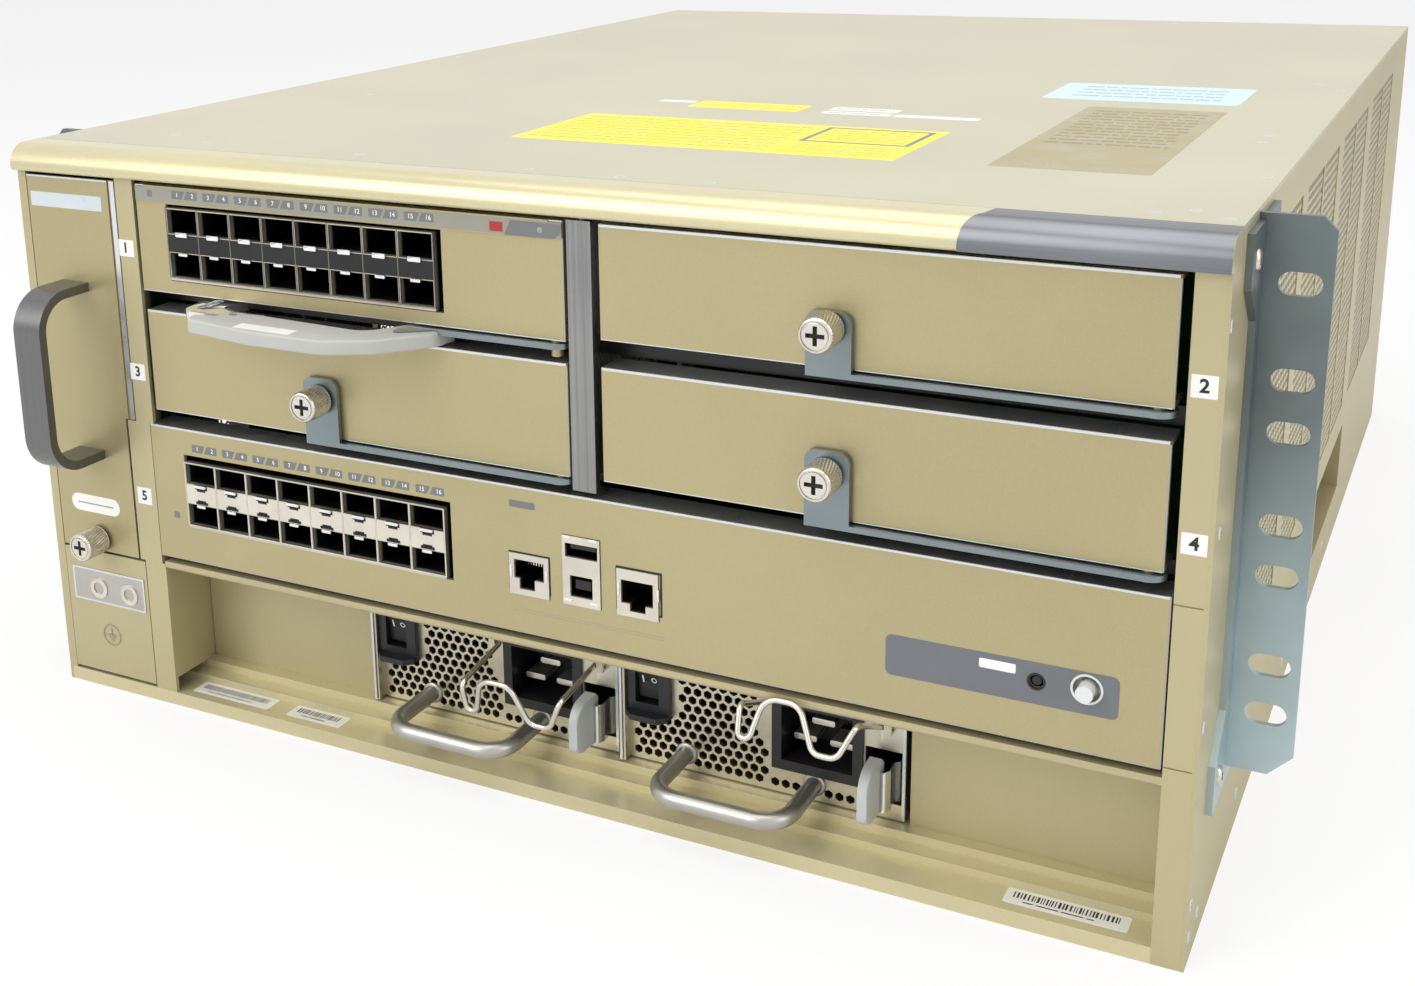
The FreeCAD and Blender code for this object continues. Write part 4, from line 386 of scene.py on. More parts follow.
def rounded_path(points, radii, steps, closed=False):
    """Points joined by straight runs, with each inner corner turned into an arc."""
    points = [Vector(p) for p in points]
    count = len(points)
    if not isinstance(radii, (list, tuple)):
        radii = [radii] * count
    out = []
    for i, corner in enumerate(points):
        if not closed and i in (0, count - 1):
            out.append(corner)
            continue
        before = points[i - 1] - corner
        after = points[(i + 1) % count] - corner
        angle = before.angle(after)
        reach = min(radii[i] / tan(angle / 2), 0.49 * before.length, 0.49 * after.length)
        if radii[i] <= 0 or reach < 1e-6:
            out.append(corner)
            continue
        start = corner + before.normalized() * reach
        end = corner + after.normalized() * reach
        weight = sin(angle / 2)
        for step in range(steps + 1):
            t = step / steps
            a, b, c = (1 - t) ** 2, 2 * t * (1 - t) * weight, t * t
            out.append((start * a + corner * b + end * c) / (a + b + c))
    return out


def rounded_outline(corners, radii, steps=6):
    """Closed outline with rounded corners."""
    path = rounded_path([(x, y, 0) for x, y in corners], radii, steps, closed=True)
    return [(p.x, p.y) for p in path]


# ---- shapes, in plane millimetres
def soften(bm, edges, width, steps, profile=0.5):
    bmesh.ops.bevel(bm, geom=edges, offset=width, segments=steps, affect="EDGES", profile=profile,
                    clamp_overlap=True)


def outward(bm):
    bmesh.ops.recalc_face_normals(bm, faces=bm.faces)


def walls(bm, lower, upper):
    """Quads between two closed rings of vertices."""
    for i in range(len(lower)):
        j = (i + 1) % len(lower)
        bm.faces.new((lower[i], lower[j], upper[j], upper[i]))


def prism(outline, low, high, edge=0.0, steps=2):
    """Closed block on an outline, its outer rim rounded by edge."""
    bm = bmesh.new()
    bottom = [bm.verts.new((p[0], p[1], low)) for p in outline]
    top = [bm.verts.new((p[0], p[1], high)) for p in outline]
    bm.faces.new(bottom[::-1])
    cap = bm.faces.new(top)
    walls(bm, bottom, top)
    if edge:
        soften(bm, list(cap.edges), edge, steps)
    return bm


def pierced(outline, holes, low, high, floor=None):
    """Closed plate with holes through it, or blind pockets down to floor."""
    bm = bmesh.new()

    def loop(points, height):
        verts = [bm.verts.new((p[0], p[1], height)) for p in points]
        edges = [bm.edges.new((verts[i], verts[(i + 1) % len(verts)])) for i in range(len(verts))]
        return verts, edges

    outer_top, rims = loop(outline, high)
    outer_low, low_rims = loop(outline, low)
    walls(bm, outer_low, outer_top)
    for hole in holes:
        top, edges = loop(hole, high)
        rims += edges
        base, base_edges = loop(hole, low if floor is None else floor)
        walls(bm, base, top)
        if floor is None:
            low_rims += base_edges
        else:
            bm.faces.new(base)
    bmesh.ops.triangle_fill(bm, edges=rims, use_beauty=True)
    bmesh.ops.triangle_fill(bm, edges=low_rims, use_beauty=True)
    outward(bm)
    return bm


def lathe(profile, turns, ripple=None):
    """Solid of revolution about the plane's own axis; ripple(angle, height) adds to the radius."""
    bm = bmesh.new()
    rings = []
    for radius, height in profile:
        if radius == 0:
            rings.append([bm.verts.new((0, 0, height))])
            continue
        ring = []
        for i in range(turns):
            angle = tau * i / turns
            r = radius + (ripple(angle, height) if ripple else 0)
            ring.append(bm.verts.new((r * cos(angle), r * sin(angle), height)))
        rings.append(ring)
    for low, high in zip(rings, rings[1:]):
        for i in range(turns):
            j = (i + 1) % turns
            if len(low) == 1:
                bm.faces.new((low[0], high[i], high[j]))
            elif len(high) == 1:
                bm.faces.new((low[i], low[j], high[0]))
            else:
                bm.faces.new((low[i], low[j], high[j], high[i]))
    outward(bm)
    return bm


def cross_outline(arm, half):
    """Twelve-sided outline of a cross recess."""
    a, h = arm, half
    return [(h, h), (h, a), (-h, a), (-h, h), (-a, h), (-a, -h), (-h, -h), (-h, -a), (h, -a), (h, -h),
            (a, -h), (a, h)]


def new_object(name, data):
    made = bpy.data.objects.new(name, data)
    bpy.context.scene.collection.objects.link(made)
    return made


def curve_to_mesh(curve):
    holder = new_object("holder", curve)
    graph = bpy.context.evaluated_depsgraph_get()
    mesh = bpy.data.meshes.new_from_object(holder.evaluated_get(graph))
    bpy.data.objects.remove(holder)
    bpy.data.curves.remove(curve)
    return mesh


def tube_mesh(points, radius, sides):
    """Round bar along points given in the row frame's metres."""
    curve = bpy.data.curves.new("bar", "CURVE")
    curve.dimensions = "3D"
    curve.bevel_depth = radius * MM
    curve.bevel_resolution = sides
    curve.use_fill_caps = True
    spline = curve.splines.new("POLY")
    spline.points.add(len(points) - 1)
    for slot, point in zip(spline.points, points):
        slot.co = (*point, 1)
    return curve_to_mesh(curve)


def digits(text, size, weight):
    """Extruded figures centred on the plane's origin."""
    curve = bpy.data.curves.new("figures", "FONT")
    curve.body = text
    curve.size = size
    curve.align_x = "CENTER"
    curve.align_y = "CENTER"
    curve.offset = weight
    curve.extrude = 0.02
    curve.resolution_u = 3
    return curve_to_mesh(curve)


class Piece:
    """Gathers shapes into one object that rides on a body."""

    def __init__(self, name, *finishes):
        self.name, self.finishes, self.bm = name, finishes, bmesh.new()

    def add(self, shape, place, finish=0):
        mesh = shape
        if not isinstance(shape, bpy.types.Mesh):
            mesh = bpy.data.meshes.new("part")
            shape.to_mesh(mesh)
            shape.free()
        for face in mesh.polygons:
            face.material_index = finish
        mesh.transform(place)
        self.bm.from_mesh(mesh)
        bpy.data.meshes.remove(mesh)

    def done(self, body, replaced=(), smooth=40):
        mesh = bpy.data.meshes.new(self.name)
        self.bm.to_mesh(mesh)
        self.bm.free()
        for finish in self.finishes:
            mesh.materials.append(M[finish])
        for face in mesh.polygons:
            face.use_smooth = True
        mesh.set_sharp_from_angle(angle=radians(smooth))
        made = new_object(self.name, mesh)
        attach(made, body)
        if replaced:
            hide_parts(*replaced)


HERE = Matrix.Identity(4)
PROUD = 0.06
SUNK = 0.05


def film(piece, kind, origin, outline, finish=0, thick=PROUD):
    """Thin label or plated strip lying on a face, let into it a little."""
    piece.add(prism(outline, -SUNK, thick, min(0.02, thick / 3), 1), plane(kind, *origin), finish)


def field(piece, level, box, finish=0, thick=PROUD, radius=0.0, kind="front"):
    """Rectangular film facing front or top; box is left, right, low, high."""
    origin = (0, 0, level) if kind == "top" else (0, level, 0)
    film(piece, kind, origin, rectangle(*box, radius), finish, thick)


# ---- knobs and screws
def captive_knob(name, body, x, z, back, tip):
    """Knurled thumbscrew: diagonal knurl, rolled rims, ringed face with a cross recess."""
    teeth, radius = 33, 5.6
    low, high = back + 0.7, tip - 0.9

    def knurl(angle, height):
        if not low < height < high:
            return 0.0
        return 0.2 * cos(teeth * angle + 1.6 * height) - 0.16

    profile = [(2.0, -4.5), (2.0, back), (5.1, back), (5.5, back + 0.35)]
    rows = 13
    profile += [(radius, low + 0.001 + (high - low - 0.002) * i / rows) for i in range(rows + 1)]
    profile += [(5.45, tip - 0.55), (5.15, tip - 0.12), (4.85, tip), (4.55, tip - 0.05), (4.4, tip - 0.5),
                (4.15, tip - 0.5), (4.05, tip - 0.12), (3.9, tip - 0.08), (3.88, tip - 0.4)]
    piece = Piece(name, "nickel", "painted_shade")
    place = front(x, 0, z)
    piece.add(lathe([(0, -4.5)] + profile, turns=165, ripple=knurl), place)
    recess = cross_outline(3.0, 0.7)
    piece.add(pierced(circle(3.9, 44), [recess], tip - 1.6, tip - 0.08, tip - 1.4), place)
    # Painted shade: a near-black floor in the cross recess, and a dark disc behind the knob where it meets
    # the panel.
    piece.add(prism(recess, tip - 1.45, tip - 1.3), place, 1)
    piece.add(lathe([(0, back - 0.5), (4.9, back - 0.5), (4.9, back + 0.1), (0, back + 0.1)], 40), place, 1)
    piece.done(body, (name.replace("_knob", "_screw"),), smooth=30)


for number, x, z in ((2, 108.4, 185.2), (3, -81.2, 138.4), (4, 108.4, 139.2)):
    captive_knob(f"slot_{number}_knob", f"slot_{number}_screw", x, z, 3.3, 13.5)
captive_knob("fan_tray_knob", "fan_tray_screw", -196.0, 65.3, 1.0, 12.0)


def screw_head(piece, kind, origin, radius=3.2, high=1.0, turn=20):
    """Low dome with a cross recess."""
    place = plane(kind, *origin) @ Matrix.Rotation(radians(turn), 4, "Z")
    core = 0.62 * radius
    profile = [(0, -0.02), (radius, -0.02), (radius, 0.25 * high), (0.9 * radius, 0.72 * high),
               (core + 0.05, high), (core, 0.4 * high)]
    piece.add(lathe(profile, 32), place)
    cross = cross_outline(0.56 * radius, 0.13 * radius)
    piece.add(pierced(circle(core + 0.02, 32), [cross], 0.2 * high, high, 0.45 * high), place)


def bracket_screws():
    piece = Piece("bracket_round_screws", "nickel")
    for y, z in ((29.5, 209.0), (52.5, 125.0), (29.5, 50.0)):
        screw_head(piece, "right", (222.3, y, z))
        screw_head(piece, "left", (-222.3, y, z))
    piece.done("chassis", ("bracket_screws",))


bracket_screws()


def chassis_screws():
    """Flush screws in the cover and the side sheets."""
    piece = Piece("cover_screws", "bare")
    tops = [(-212, 25), (-173, 37), (-150.5, 28), (-78, 25), (-171, 161), (-6.6, 21), (28.4, 19), (60, 20),
            (126.5, 21), (195, 24), (205, 30), (215.5, 22), (205, 157), (215.5, 90), (205, 172), (-212, 160),
            (215, 300), (205, 318), (212, 430), (-212, 300), (-212, 430), (200, 560), (100, 566), (0, 566),
            (-100, 566), (-200, 560)]
    for index, (x, y) in enumerate(tops):
        screw_head(piece, "top", (x, y, 221.42), 2.3, 0.1, turn=23 * index)
    sides = [(3.4, 196), (9, 135), (5, 77), (4.5, 20), (18, 9.4), (4.4, 9.2), (90, 12), (200, 12), (330, 12),
             (470, 12), (566, 60), (566, 160)]
    for index, (y, z) in enumerate(sides):
        screw_head(piece, "right", (220.33, y, z), 2.1, 0.35, turn=31 * index)
        screw_head(piece, "left", (-220.33, y, z), 2.1, 0.35, turn=17 * index)
    piece.done("chassis")


chassis_screws()


# ---- power supplies
PSU_LEFTS = {1: -81.5, 2: 24.0}


def pull_bar(number, left):
    """Bent round bar with a shoulder where it enters the face."""
    y0, y1, z, bend = 24.4, -6.0, 18.1, 10.0
    a, b = left + 24.0, left + 71.5
    corners = [at(a, y0, z), at(a, y1, z), at(b, y1, z), at(b, y0, z)]
    piece = Piece(f"psu_{number}_pull_bar", "satin")
    piece.add(tube_mesh(rounded_path(corners, bend * MM, 14), 3.0, 9), HERE)
    for x in (a, b):
        foot = lathe([(0, -0.3), (4.1, -0.3), (4.1, 0.5), (3.7, 0.9), (3.0, 1.0), (0, 1.0)], 36)
        piece.add(foot, front(x, 24.0, z))
    piece.done(f"psu_{number}", (f"psu_{number}_handle",), smooth=50)


def wire_bail(number, left, tilt):
    """Cable retainer bent from round wire, hung between two lugs."""
    route = [(53, 0, 0), (56, 0, 0), (56, -27, 0), (57, -27, -10.5), (61, -27, -10.5), (64, -27, 3.5),
             (76, -27, 3.5), (82.5, -27, -10.5), (90.5, -27, -10.5), (95.5, -27, 1.0), (95.5, 0, 0),
             (98.5, 0, 0)]
    turn = Matrix.Rotation(radians(-tilt), 3, "X")
    points = []
    for x, y, z in route:
        moved = turn @ Vector((0, y, z))
        points.append(at(left + x, 21.5 + moved.y, 46.0 + moved.z))
    radii = [0, 1.5, 3.0, 2.6, 2.6, 6.0, 6.0, 4.0, 4.0, 3.0, 1.5, 0]
    path = rounded_path(points, [r * MM for r in radii], 8)
    piece = Piece(f"psu_{number}_wire_bail", "nickel")
    piece.add(tube_mesh(path, 1.0, 5), HERE)
    piece.done(f"psu_{number}_bail", (f"psu_{number}_bail",), smooth=60)


def psu_trim(number, left):
    """Bright side flanges, latch strip and vents' border on a power supply's face."""
    piece = Piece(f"psu_{number}_trim", "bare", "painted_shade", "tin", "black")
    film(piece, "front", (left, 19.5, 0), rectangle(0.05, 1.0, 12.2, 56.3))
    film(piece, "front", (left, 24.0, 0), rectangle(94.5, 101.9, 37.5, 56.0, 0.4), 2, 0.4)
    film(piece, "front", (left, 24.0, 0), rectangle(101.9, 102.9, 12.2, 56.0), 0, 0.3)
    for start, end, level in ((61.9, 69.9, 30.5), (74.9, 82.9, 30.5), (68.4, 76.4, 37.5)):
        pin = rectangle(start - 0.05, end + 0.05, level - 0.05, level + 2.05, 0.4)
        piece.add(prism(pin, -9.0, 0.3, 0.25, 2), front(left, 29.6, 0), 2)
    piece.done(f"psu_{number}")


def switch_marks(number, left):
    """Line and ring marks, laid on the rocker's face."""
    rocker = NODES[f"psu_{number}_rocker"]
    tree = BVHTree.FromObject(rocker, bpy.context.evaluated_depsgraph_get())
    piece = Piece(f"psu_{number}_rocker_marks", "white")
    line = prism(rectangle(-0.28, 0.28, -1.5, 1.5, 0.2), 0, 0.05)
    ring = pierced(circle(1.1, 28), [circle(0.72, 28)], 0, 0.05)
    for shape, x in ((line, left + 7.8), (ring, left + 12.0)):
        shape.transform(front(x, 0, 43.4))
        for vert in shape.verts:
            lift = FRONT - vert.co.y
            hit = tree.ray_cast(Vector((vert.co.x, FRONT, vert.co.z)), Vector((0, 1, 0)))[0]
            if hit is not None:
                vert.co.y = hit.y - 0.02 * MM - lift
        piece.add(shape, HERE)
    piece.done(f"psu_{number}_rocker")


def sprung_strip():
    """Bright strip bent in a wave beside the latch."""
    wave = [(96.2, 19.0), (97.0, 16.5), (98.4, 16.0), (99.4, 19.0), (99.0, 24.5), (100.6, 26.0),
            (100.6, 60.0)]
    half, bottom, top = 0.25, 18.2, 32.5
    path = rounded_path([(x, y, 0) for x, y in wave], 1.2, 5)
    strip = bmesh.new()
    rows = []
    for index, point in enumerate(path):
        ahead = path[min(index + 1, len(path) - 1)] - path[max(index - 1, 0)]
        normal = Vector((-ahead.y, ahead.x, 0)).normalized() * half
        one, other = point + normal, point - normal
        rows.append([strip.verts.new((p.x, p.y, z))
                     for p, z in ((one, bottom), (other, bottom), (other, top), (one, top))])
    for low, high in zip(rows, rows[1:]):
        walls(strip, low, high)
    strip.faces.new(rows[0][::-1])
    strip.faces.new(rows[-1])
    outward(strip)
    return strip


def latch_paddle(number, left):
    """Release latch: pale moulded paddle with a rolled front, on a bright sprung strip."""
    piece = Piece(f"psu_{number}_latch_paddle", "pale", "chrome")
    corners = [(-5.2, 17.8), (-19.8, 17.8), (-19.8, 36.0), (-5.2, 35.4)]
    side = rounded_outline(corners, [3.2, 1.0, 1.2, 7.5], 8)
    paddle = prism([(-x, y) for x, y in side], 92.3, 97.0, 0.9, 4)
    for vert in paddle.verts:
        vert.co.z -= 0.05 * (20 - vert.co.x) * (vert.co.z - 94.6) / 2.4
    piece.add(paddle, plane("right", left, 0, 0))
    piece.add(sprung_strip(), plane("top", left, 0, 0), 1)
    piece.done(f"psu_{number}_latch", (f"psu_{number}_latch",), smooth=50)


for number, left in PSU_LEFTS.items():
    latch_paddle(number, left)
    pull_bar(number, left)
    wire_bail(number, left, {1: -9.0, 2: 24.0}[number])
    psu_trim(number, left)
    switch_marks(number, left)


# ---- side mesh
VENTS = ((100, 147), (162, 207.5), (211.5, 257), (275, 321.5), (325.5, 372), (395, 445.5), (449.5, 500))
VENT_LOW, VENT_HIGH = 66.0, 206.0


def side_mesh(name, kind, x, sign):
    """Fine hexagonal perforation in each window, let into the sheet's thickness."""
    pitch, web = 4.0, 0.95
    outer, inner = pitch / sqrt(3), (pitch - web) / sqrt(3)
    row_step = pitch * sqrt(3) / 2
    turns = [(sin(tau * k / 6), cos(tau * k / 6)) for k in range(6)]
    verts, faces, shared = [], [], {}

    def corner(u, v):
        key = (round(u, 2), round(v, 2))
        if key not in shared:
            shared[key] = len(verts)
            verts.append((u, v, 0.0))
        return shared[key]

    for front, back in VENTS:
        rows = int((VENT_HIGH - VENT_LOW) / row_step) + 2
        columns = int((back - front) / pitch) + 1
        for row in range(rows):
            v = VENT_LOW - 0.4 + row * row_step
            for column in range(columns + (row % 2 == 0)):
                u = front + 0.5 + pitch * (column + (0.5 if row % 2 else 0.0))
                if u > back + 0.3 * pitch or v > VENT_HIGH + 0.3 * pitch:
                    continue
                rim = [corner(u + outer * s, v + outer * c) for s, c in turns]
                start = len(verts)
                verts.extend((u + inner * s, v + inner * c, 0.0) for s, c in turns)
                for k in range(6):
                    j = (k + 1) % 6
                    faces.append((rim[k], start + k, start + j, rim[j]))
    place = plane(kind, x, 0, 0)
    mesh = bpy.data.meshes.new(name)
    mesh.from_pydata([tuple(place @ Vector((sign * u, v, w))) for u, v, w in verts], [], faces)
    mesh.materials.append(M["mesh"])
    made = new_object(name, mesh)
    thick = made.modifiers.new("thickness", "SOLIDIFY")
    thick.thickness = 0.5 * MM
    thick.offset = 0.0
    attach(made, "chassis")


side_mesh("right_side_mesh", "right", 219.75, 1)
side_mesh("left_side_mesh", "left", -219.75, -1)


# ---- bezel and edges
def bezel_band():
    """Brushed grey end of the bezel, laid on its rounded section, its start edge curved."""
    bend, spring, lift, columns = 8.0, 213.5, 0.05, 12
    section = [(-3.2, 211.6)]
    section += [(-3.2 + bend - bend * cos(radians(a)), spring + bend * sin(radians(a)))
                for a in range(0, 91, 6)]
    section += [(9.0, 221.5), (12.9, 221.5)]
    bm = bmesh.new()
    rows = []
    for index, (y, z) in enumerate(section):
        start = 146.5 + 6.5 * (index / (len(section) - 1)) ** 2.2
        lean = 0.0 if z < spring else radians(min(90, (z - spring) / bend * 90))
        y, z = y - lift * cos(lean), z + lift * sin(lean)
        step = (220.3 - start) / columns
        rows.append([bm.verts.new(at(start + step * k, y, z)) for k in range(columns + 1)])
    for low, high in zip(rows, rows[1:]):
        for k in range(columns):
            bm.faces.new((low[k], low[k + 1], high[k + 1], high[k]))
    outward(bm)
    piece = Piece("bezel_grey_band", "grey_band")
    piece.add(bm, HERE)
    piece.done("chassis", smooth=60)


bezel_band()


def edge_strips():
    """Bare bright edges where painted sheets were cut or folded."""
    def flange(piece, left, right, level):
        field(piece, level, (left, right, 0.2, 11.8), thick=0.05, kind="top")

    fixed = Piece("chassis_bright_edges", "bare", "cut")
    flange(fixed, -164.5, 210.0, 117.2)
    field(fixed, 0, (-164.5, 210.0, 116.5, 117.2))
    field(fixed, 0, (209.8, 210.15, 63.8, 117.1), 1)
    field(fixed, 0, (-164.6, 210.1, 63.72, 64.0), 1)
    fixed.done("chassis")
    door = Piece("fan_door_bright_edges", "bare")
    field(door, 0, (-215.9, -175.6, 209.3, 209.95))
    field(door, 0, (-174.2, -172.0, 117.7, 209.9), 0, 0.25)
    door.done("fan_tray")
    card = Piece("port_card_bright_edges", "bare", "cut")
    field(card, 0, (-161.5, 17.5, 209.4, 209.8))
    field(card, 0, (17.2, 17.6, 170.0, 209.7), 1)
    field(card, 0, (-161.5, 17.5, 169.85, 170.15))
    card.done("port_card")
    for number, left, right, low, high in ((2, 30.6, 207.5, 172.0, 209.7), (3, -160.7, 17.9, 123.5, 162.4),
                                           (4, 30.6, 207.5, 124.0, 162.7)):
        blank = Piece(f"slot_{number}_bright_edges", "bare", "cut")
        flange(blank, left, right, high + 0.07)
        field(blank, 0, (left, right, low, low + 0.3))
        field(blank, 0, (right - 0.4, right, low, high), 1)
        field(blank, 0, (left, right, high - 0.8, high))
        blank.done(f"slot_{number}_blank")


edge_strips()


# ---- port cages
def cage_front(name, body, start, pitch, right, rows, band):
    """Thin cell edges, and clips on the strip between the rows; band makes the strip bright, with black
    T-shaped notches of painted shade at its edges, and without band the strip itself is near-black painted
    shade.
    """
    low, band_low, band_high, high = rows
    y, ports = -0.4, 8
    piece = Piece(name, "tin" if band else "dim", "tin" if band else "painted_shade", "chrome", "painted_shade")
    for k in range(ports + 1):
        film(piece, "front", (start + pitch * k, y, 0), rectangle(-0.2, 0.2, low, high), 0, 0.14)
    # Black T-shaped notches at the band's edges: painted shade where the openings are dark.
    notch_shades = ((2.9, band_high - 1.5, band_high - 0.3), (2.0, band_high - 2.3, band_high - 1.3),
               (2.9, band_low + 0.2, band_low + 1.3), (2.0, band_low + 1.0, band_low + 1.9))
    for k in range(ports):
        middle, half = start + pitch * (k + 0.5), pitch / 2 - 0.3
        strip = (middle - half, middle + half, band_low + 0.1, band_high - 0.1)
        # Without band this strip takes the near-black of painted shade.
        field(piece, y, strip, 1, 0.1, 0.2)
        for wide, bottom, top in notch_shades if band else ():
            field(piece, y, (middle - wide, middle + wide, bottom, top), 3, 0.16)
        upper = rectangle(-2.6, 2.6, -0.25, 0.85 if band else 1.4, 0.2)
        piece.add(prism(upper, 0.2, 1.0, 0.2), front(middle, y, band_high - 0.4), 2)
        lower = rectangle(-2.0, 2.0, -0.8, 0.25, 0.2)
        piece.add(prism(lower, 0.2, 0.8, 0.18), front(middle, y, band_low - 0.2), 2)
    for height in (low, high):
        field(piece, y, (start, right, height - 0.12, height + 0.12), 0, 0.14)
    piece.done(body)


cage_front("port_card_cage_trim", "port_card", -147.55, 14.45, -31.9, (176.0, 185.6, 192.3, 202.0), False)
cage_front("supervisor_cage_trim", "chassis", -149.05, 14.55, -32.65, (79.0, 87.9, 95.5, 104.2), True)


def tag_pair(piece, origin, first):
    """Two slanted tags carrying consecutive port numbers."""
    wide, high, slant, gap, nick = 6.0, 3.0, 1.4, 0.55, 0.25
    outer = wide + gap
    one = [(-outer, nick), (nick - outer, 0), (-gap - slant, 0), (-gap, high), (nick - outer, high),
           (-outer, high - nick)]
    end = outer - slant
    two = [(gap - slant, 0), (end - nick, 0), (end, nick), (end, high - nick), (end - nick, high),
           (gap, high)]
    for outline, number, side in ((one, first, -1), (two, first + 1, 1)):
        film(piece, "front", origin, outline, 0, 0.07)
        middle = side * (wide / 2 + gap) - slant / 3
        place = front(*origin) @ Matrix.Translation((middle, high / 2, 0.06))
        piece.add(digits(str(number), 2.3, 0.02), place, 1)


def port_labels():
    """Port numbers and plain printed fields on the card and the supervisor."""
    card = Piece("port_card_labels", "tag", "white", "ledge", "crimson", "label_line")
    y = -0.5
    field(card, y, (-161.3, 17.4, 203.9, 209.2), 2, 0.03)
    for k in range(8):
        tag_pair(card, (-137.4 + 14.45 * k, y - 0.02, 205.5), 2 * k + 1)
    field(card, y - 0.02, (-155.6, -153.2, 205.6, 208.0), 0, PROUD, 0.3)
    tab = [(-4, 203.7), (14.6, 203.7), (17.2, 205.8), (17.2, 208.7), (-1.4, 208.7)]
    film(card, "front", (0, y - 0.02, 0), tab)
    field(card, y - 0.02, (-9.4, -4.4, 204.6, 207.8), 3, PROUD, 0.3)
    film(card, "front", (0, y - 0.04, 0), circle(1.0, 24, 9.5, 206.3), 4)
    card.done("port_card")
    fixed = Piece("supervisor_labels", "tag", "white", "plate", "faint", "label_line")
    for k in range(8):
        tag_pair(fixed, (-138.4 + 14.4 * k, 0, 108.6), 2 * k + 1)
    field(fixed, 0, (-156.5, -153.9, 80.6, 83.2), 0, PROUD, 0.3)
    field(fixed, 0, (-6.2, 3.8, 109.5, 112.0), 0, PROUD, 0.4)
    for height in (71.6, 72.6):
        field(fixed, 0, (-6.3, 52, height, height + 0.22), 3)
    plate = rectangle(127.3, 197.5, 76.3, 89.7, 2.0)
    holes = [circle(2.6, 32, 173.6, 83.6), circle(4.4, 36, 188.3, 84.3)]
    fixed.add(pierced(plate, holes, -0.05, 0.1), front(0, 0, 0), 2)
    field(fixed, -0.08, (156.4, 167.4, 84.8, 87.8), 1, PROUD, 0.5)
    fixed.done("chassis")
    rings = Piece("button_rings", "black", "clear")
    reset = pierced(circle(2.75, 36), [circle(2.15, 36)], -0.3, 0.3)
    rings.add(reset, front(173.6, 0, 83.6))
    locator = pierced(circle(4.75, 40), [circle(4.1, 40)], -0.3, 0.35)
    rings.add(locator, front(188.3, 0, 84.3), 1)
    rings.done("chassis")


port_labels()


# ---- service jacks
def jack_frames():
    """Near-black rims of painted shade round the jacks, side springs and contact wires of the jacks; notches
    of the socket shells.
    """
    piece = Piece("service_jack_frames", "tin", "painted_shade", "chrome")
    y = -0.5
    for left, right, low, high in ((-6.8, 8.7, 79.5, 93.0), (34.5, 50.7, 80.0, 94.8)):
        middle, half = (left + right) / 2, (right - left) / 2
        # A near-black rim round each opening: painted shade in the gap.
        reveal = pierced(rectangle(left - 0.35, right + 0.45, low - 0.3, high + 0.5, 0.3),
                         [rectangle(left + 0.2, right - 0.2, low + 0.2, high - 0.2, 0.3)], -0.55, -0.4)
        piece.add(reveal, front(0, y, 0), 1)
        for side in (-1, 1):
            spring = prism(rectangle(-0.35, 0.35, -2.2, 2.2, 0.3), 0.0, 0.3, 0.1)
            piece.add(spring, front(middle + side * (half - 0.8), y, (low + high) / 2), 2)
        for k in range(8):
            wire = prism(rectangle(-0.16, 0.16, -1.6, 1.6), 0, 0.4)
            piece.add(wire, front(middle - 3.57 + 1.02 * k, 6.0, high - 4.6), 2)
    for height in (79.6, 102.3):
        for x in (16.0, 26.0):
            notch = prism(rectangle(-1.6, 1.6, -0.35, 0.35, 0.2), 0, 0.25, 0.08)
            piece.add(notch, front(x, y, height), 2)
    piece.done("chassis")


jack_frames()


# ---- stickers, labels and door fittings
def slot_stickers():
    piece = Piece("slot_number_stickers", "label_white", "ink")
    for text, *box in (("1", -172.9, -164.9, 181.9, 188.2), ("3", -172.1, -164.9, 134.0, 140.4),
                       ("5", -174.4, -167.4, 83.6, 90.4), ("2", 211.5, 218.6, 176.2, 182.8),
                       ("4", 211.6, 218.7, 130.8, 137.2)):
        left, right, low, high = box
        field(piece, 0, box, 0, 0.08, 0.25)
        piece.add(digits(text, 5.4, 0.16), front((left + right) / 2, -0.08, (low + high) / 2), 1)
    piece.done("chassis")


slot_stickers()


def fan_door():
    """Labels on the fan tray's door."""
    piece = Piece("fan_door_labels", "label_blue_grey", "label_white", "label_line")
    field(piece, 0, (-214.6, -179.0, 198.0, 203.6), 0, 0.08, 0.4)
    field(piece, 0, (-209.6, -184.6, 75.7, 82.8), 1, 0.08, 3.5)
    field(piece, 0, (-206.4, -187.8, 78.9, 79.5), 2, 0.1, 0.2)
    piece.done("fan_tray")


fan_door()


def ground_fittings():
    """Bare ground pad, a washer round each hole and the ground mark."""
    piece = Piece("ground_fittings", "bare", "satin", "nickel", "faint")
    y = -0.3
    field(piece, y, (-213.0, -175.6, 37.0, 51.2), 0, 0.03, 0.5)
    field(piece, y - 0.02, (-212.2, -176.4, 37.8, 50.4), 1, 0.03, 0.4)
    for x in (-199.4, -183.525):
        washer = pierced(circle(4.3, 40), [circle(2.6, 32)], 0.0, 0.5)
        piece.add(washer, front(x, y, 43.4), 2)
    mark = front(-195.3, y, 23.7)
    piece.add(pierced(circle(4.5, 44), [circle(4.15, 44)], -0.02, 0.04), mark, 3)
    for left, right, low, high in ((-0.2, 0.2, 0.2, 3.0), (-2.4, 2.4, -0.2, 0.2), (-1.6, 1.6, -1.3, -0.9),
                                   (-0.8, 0.8, -2.4, -2.0)):
        piece.add(prism(rectangle(left, right, low, high), -0.02, 0.04), mark, 3)
    piece.done("chassis")


ground_fittings()


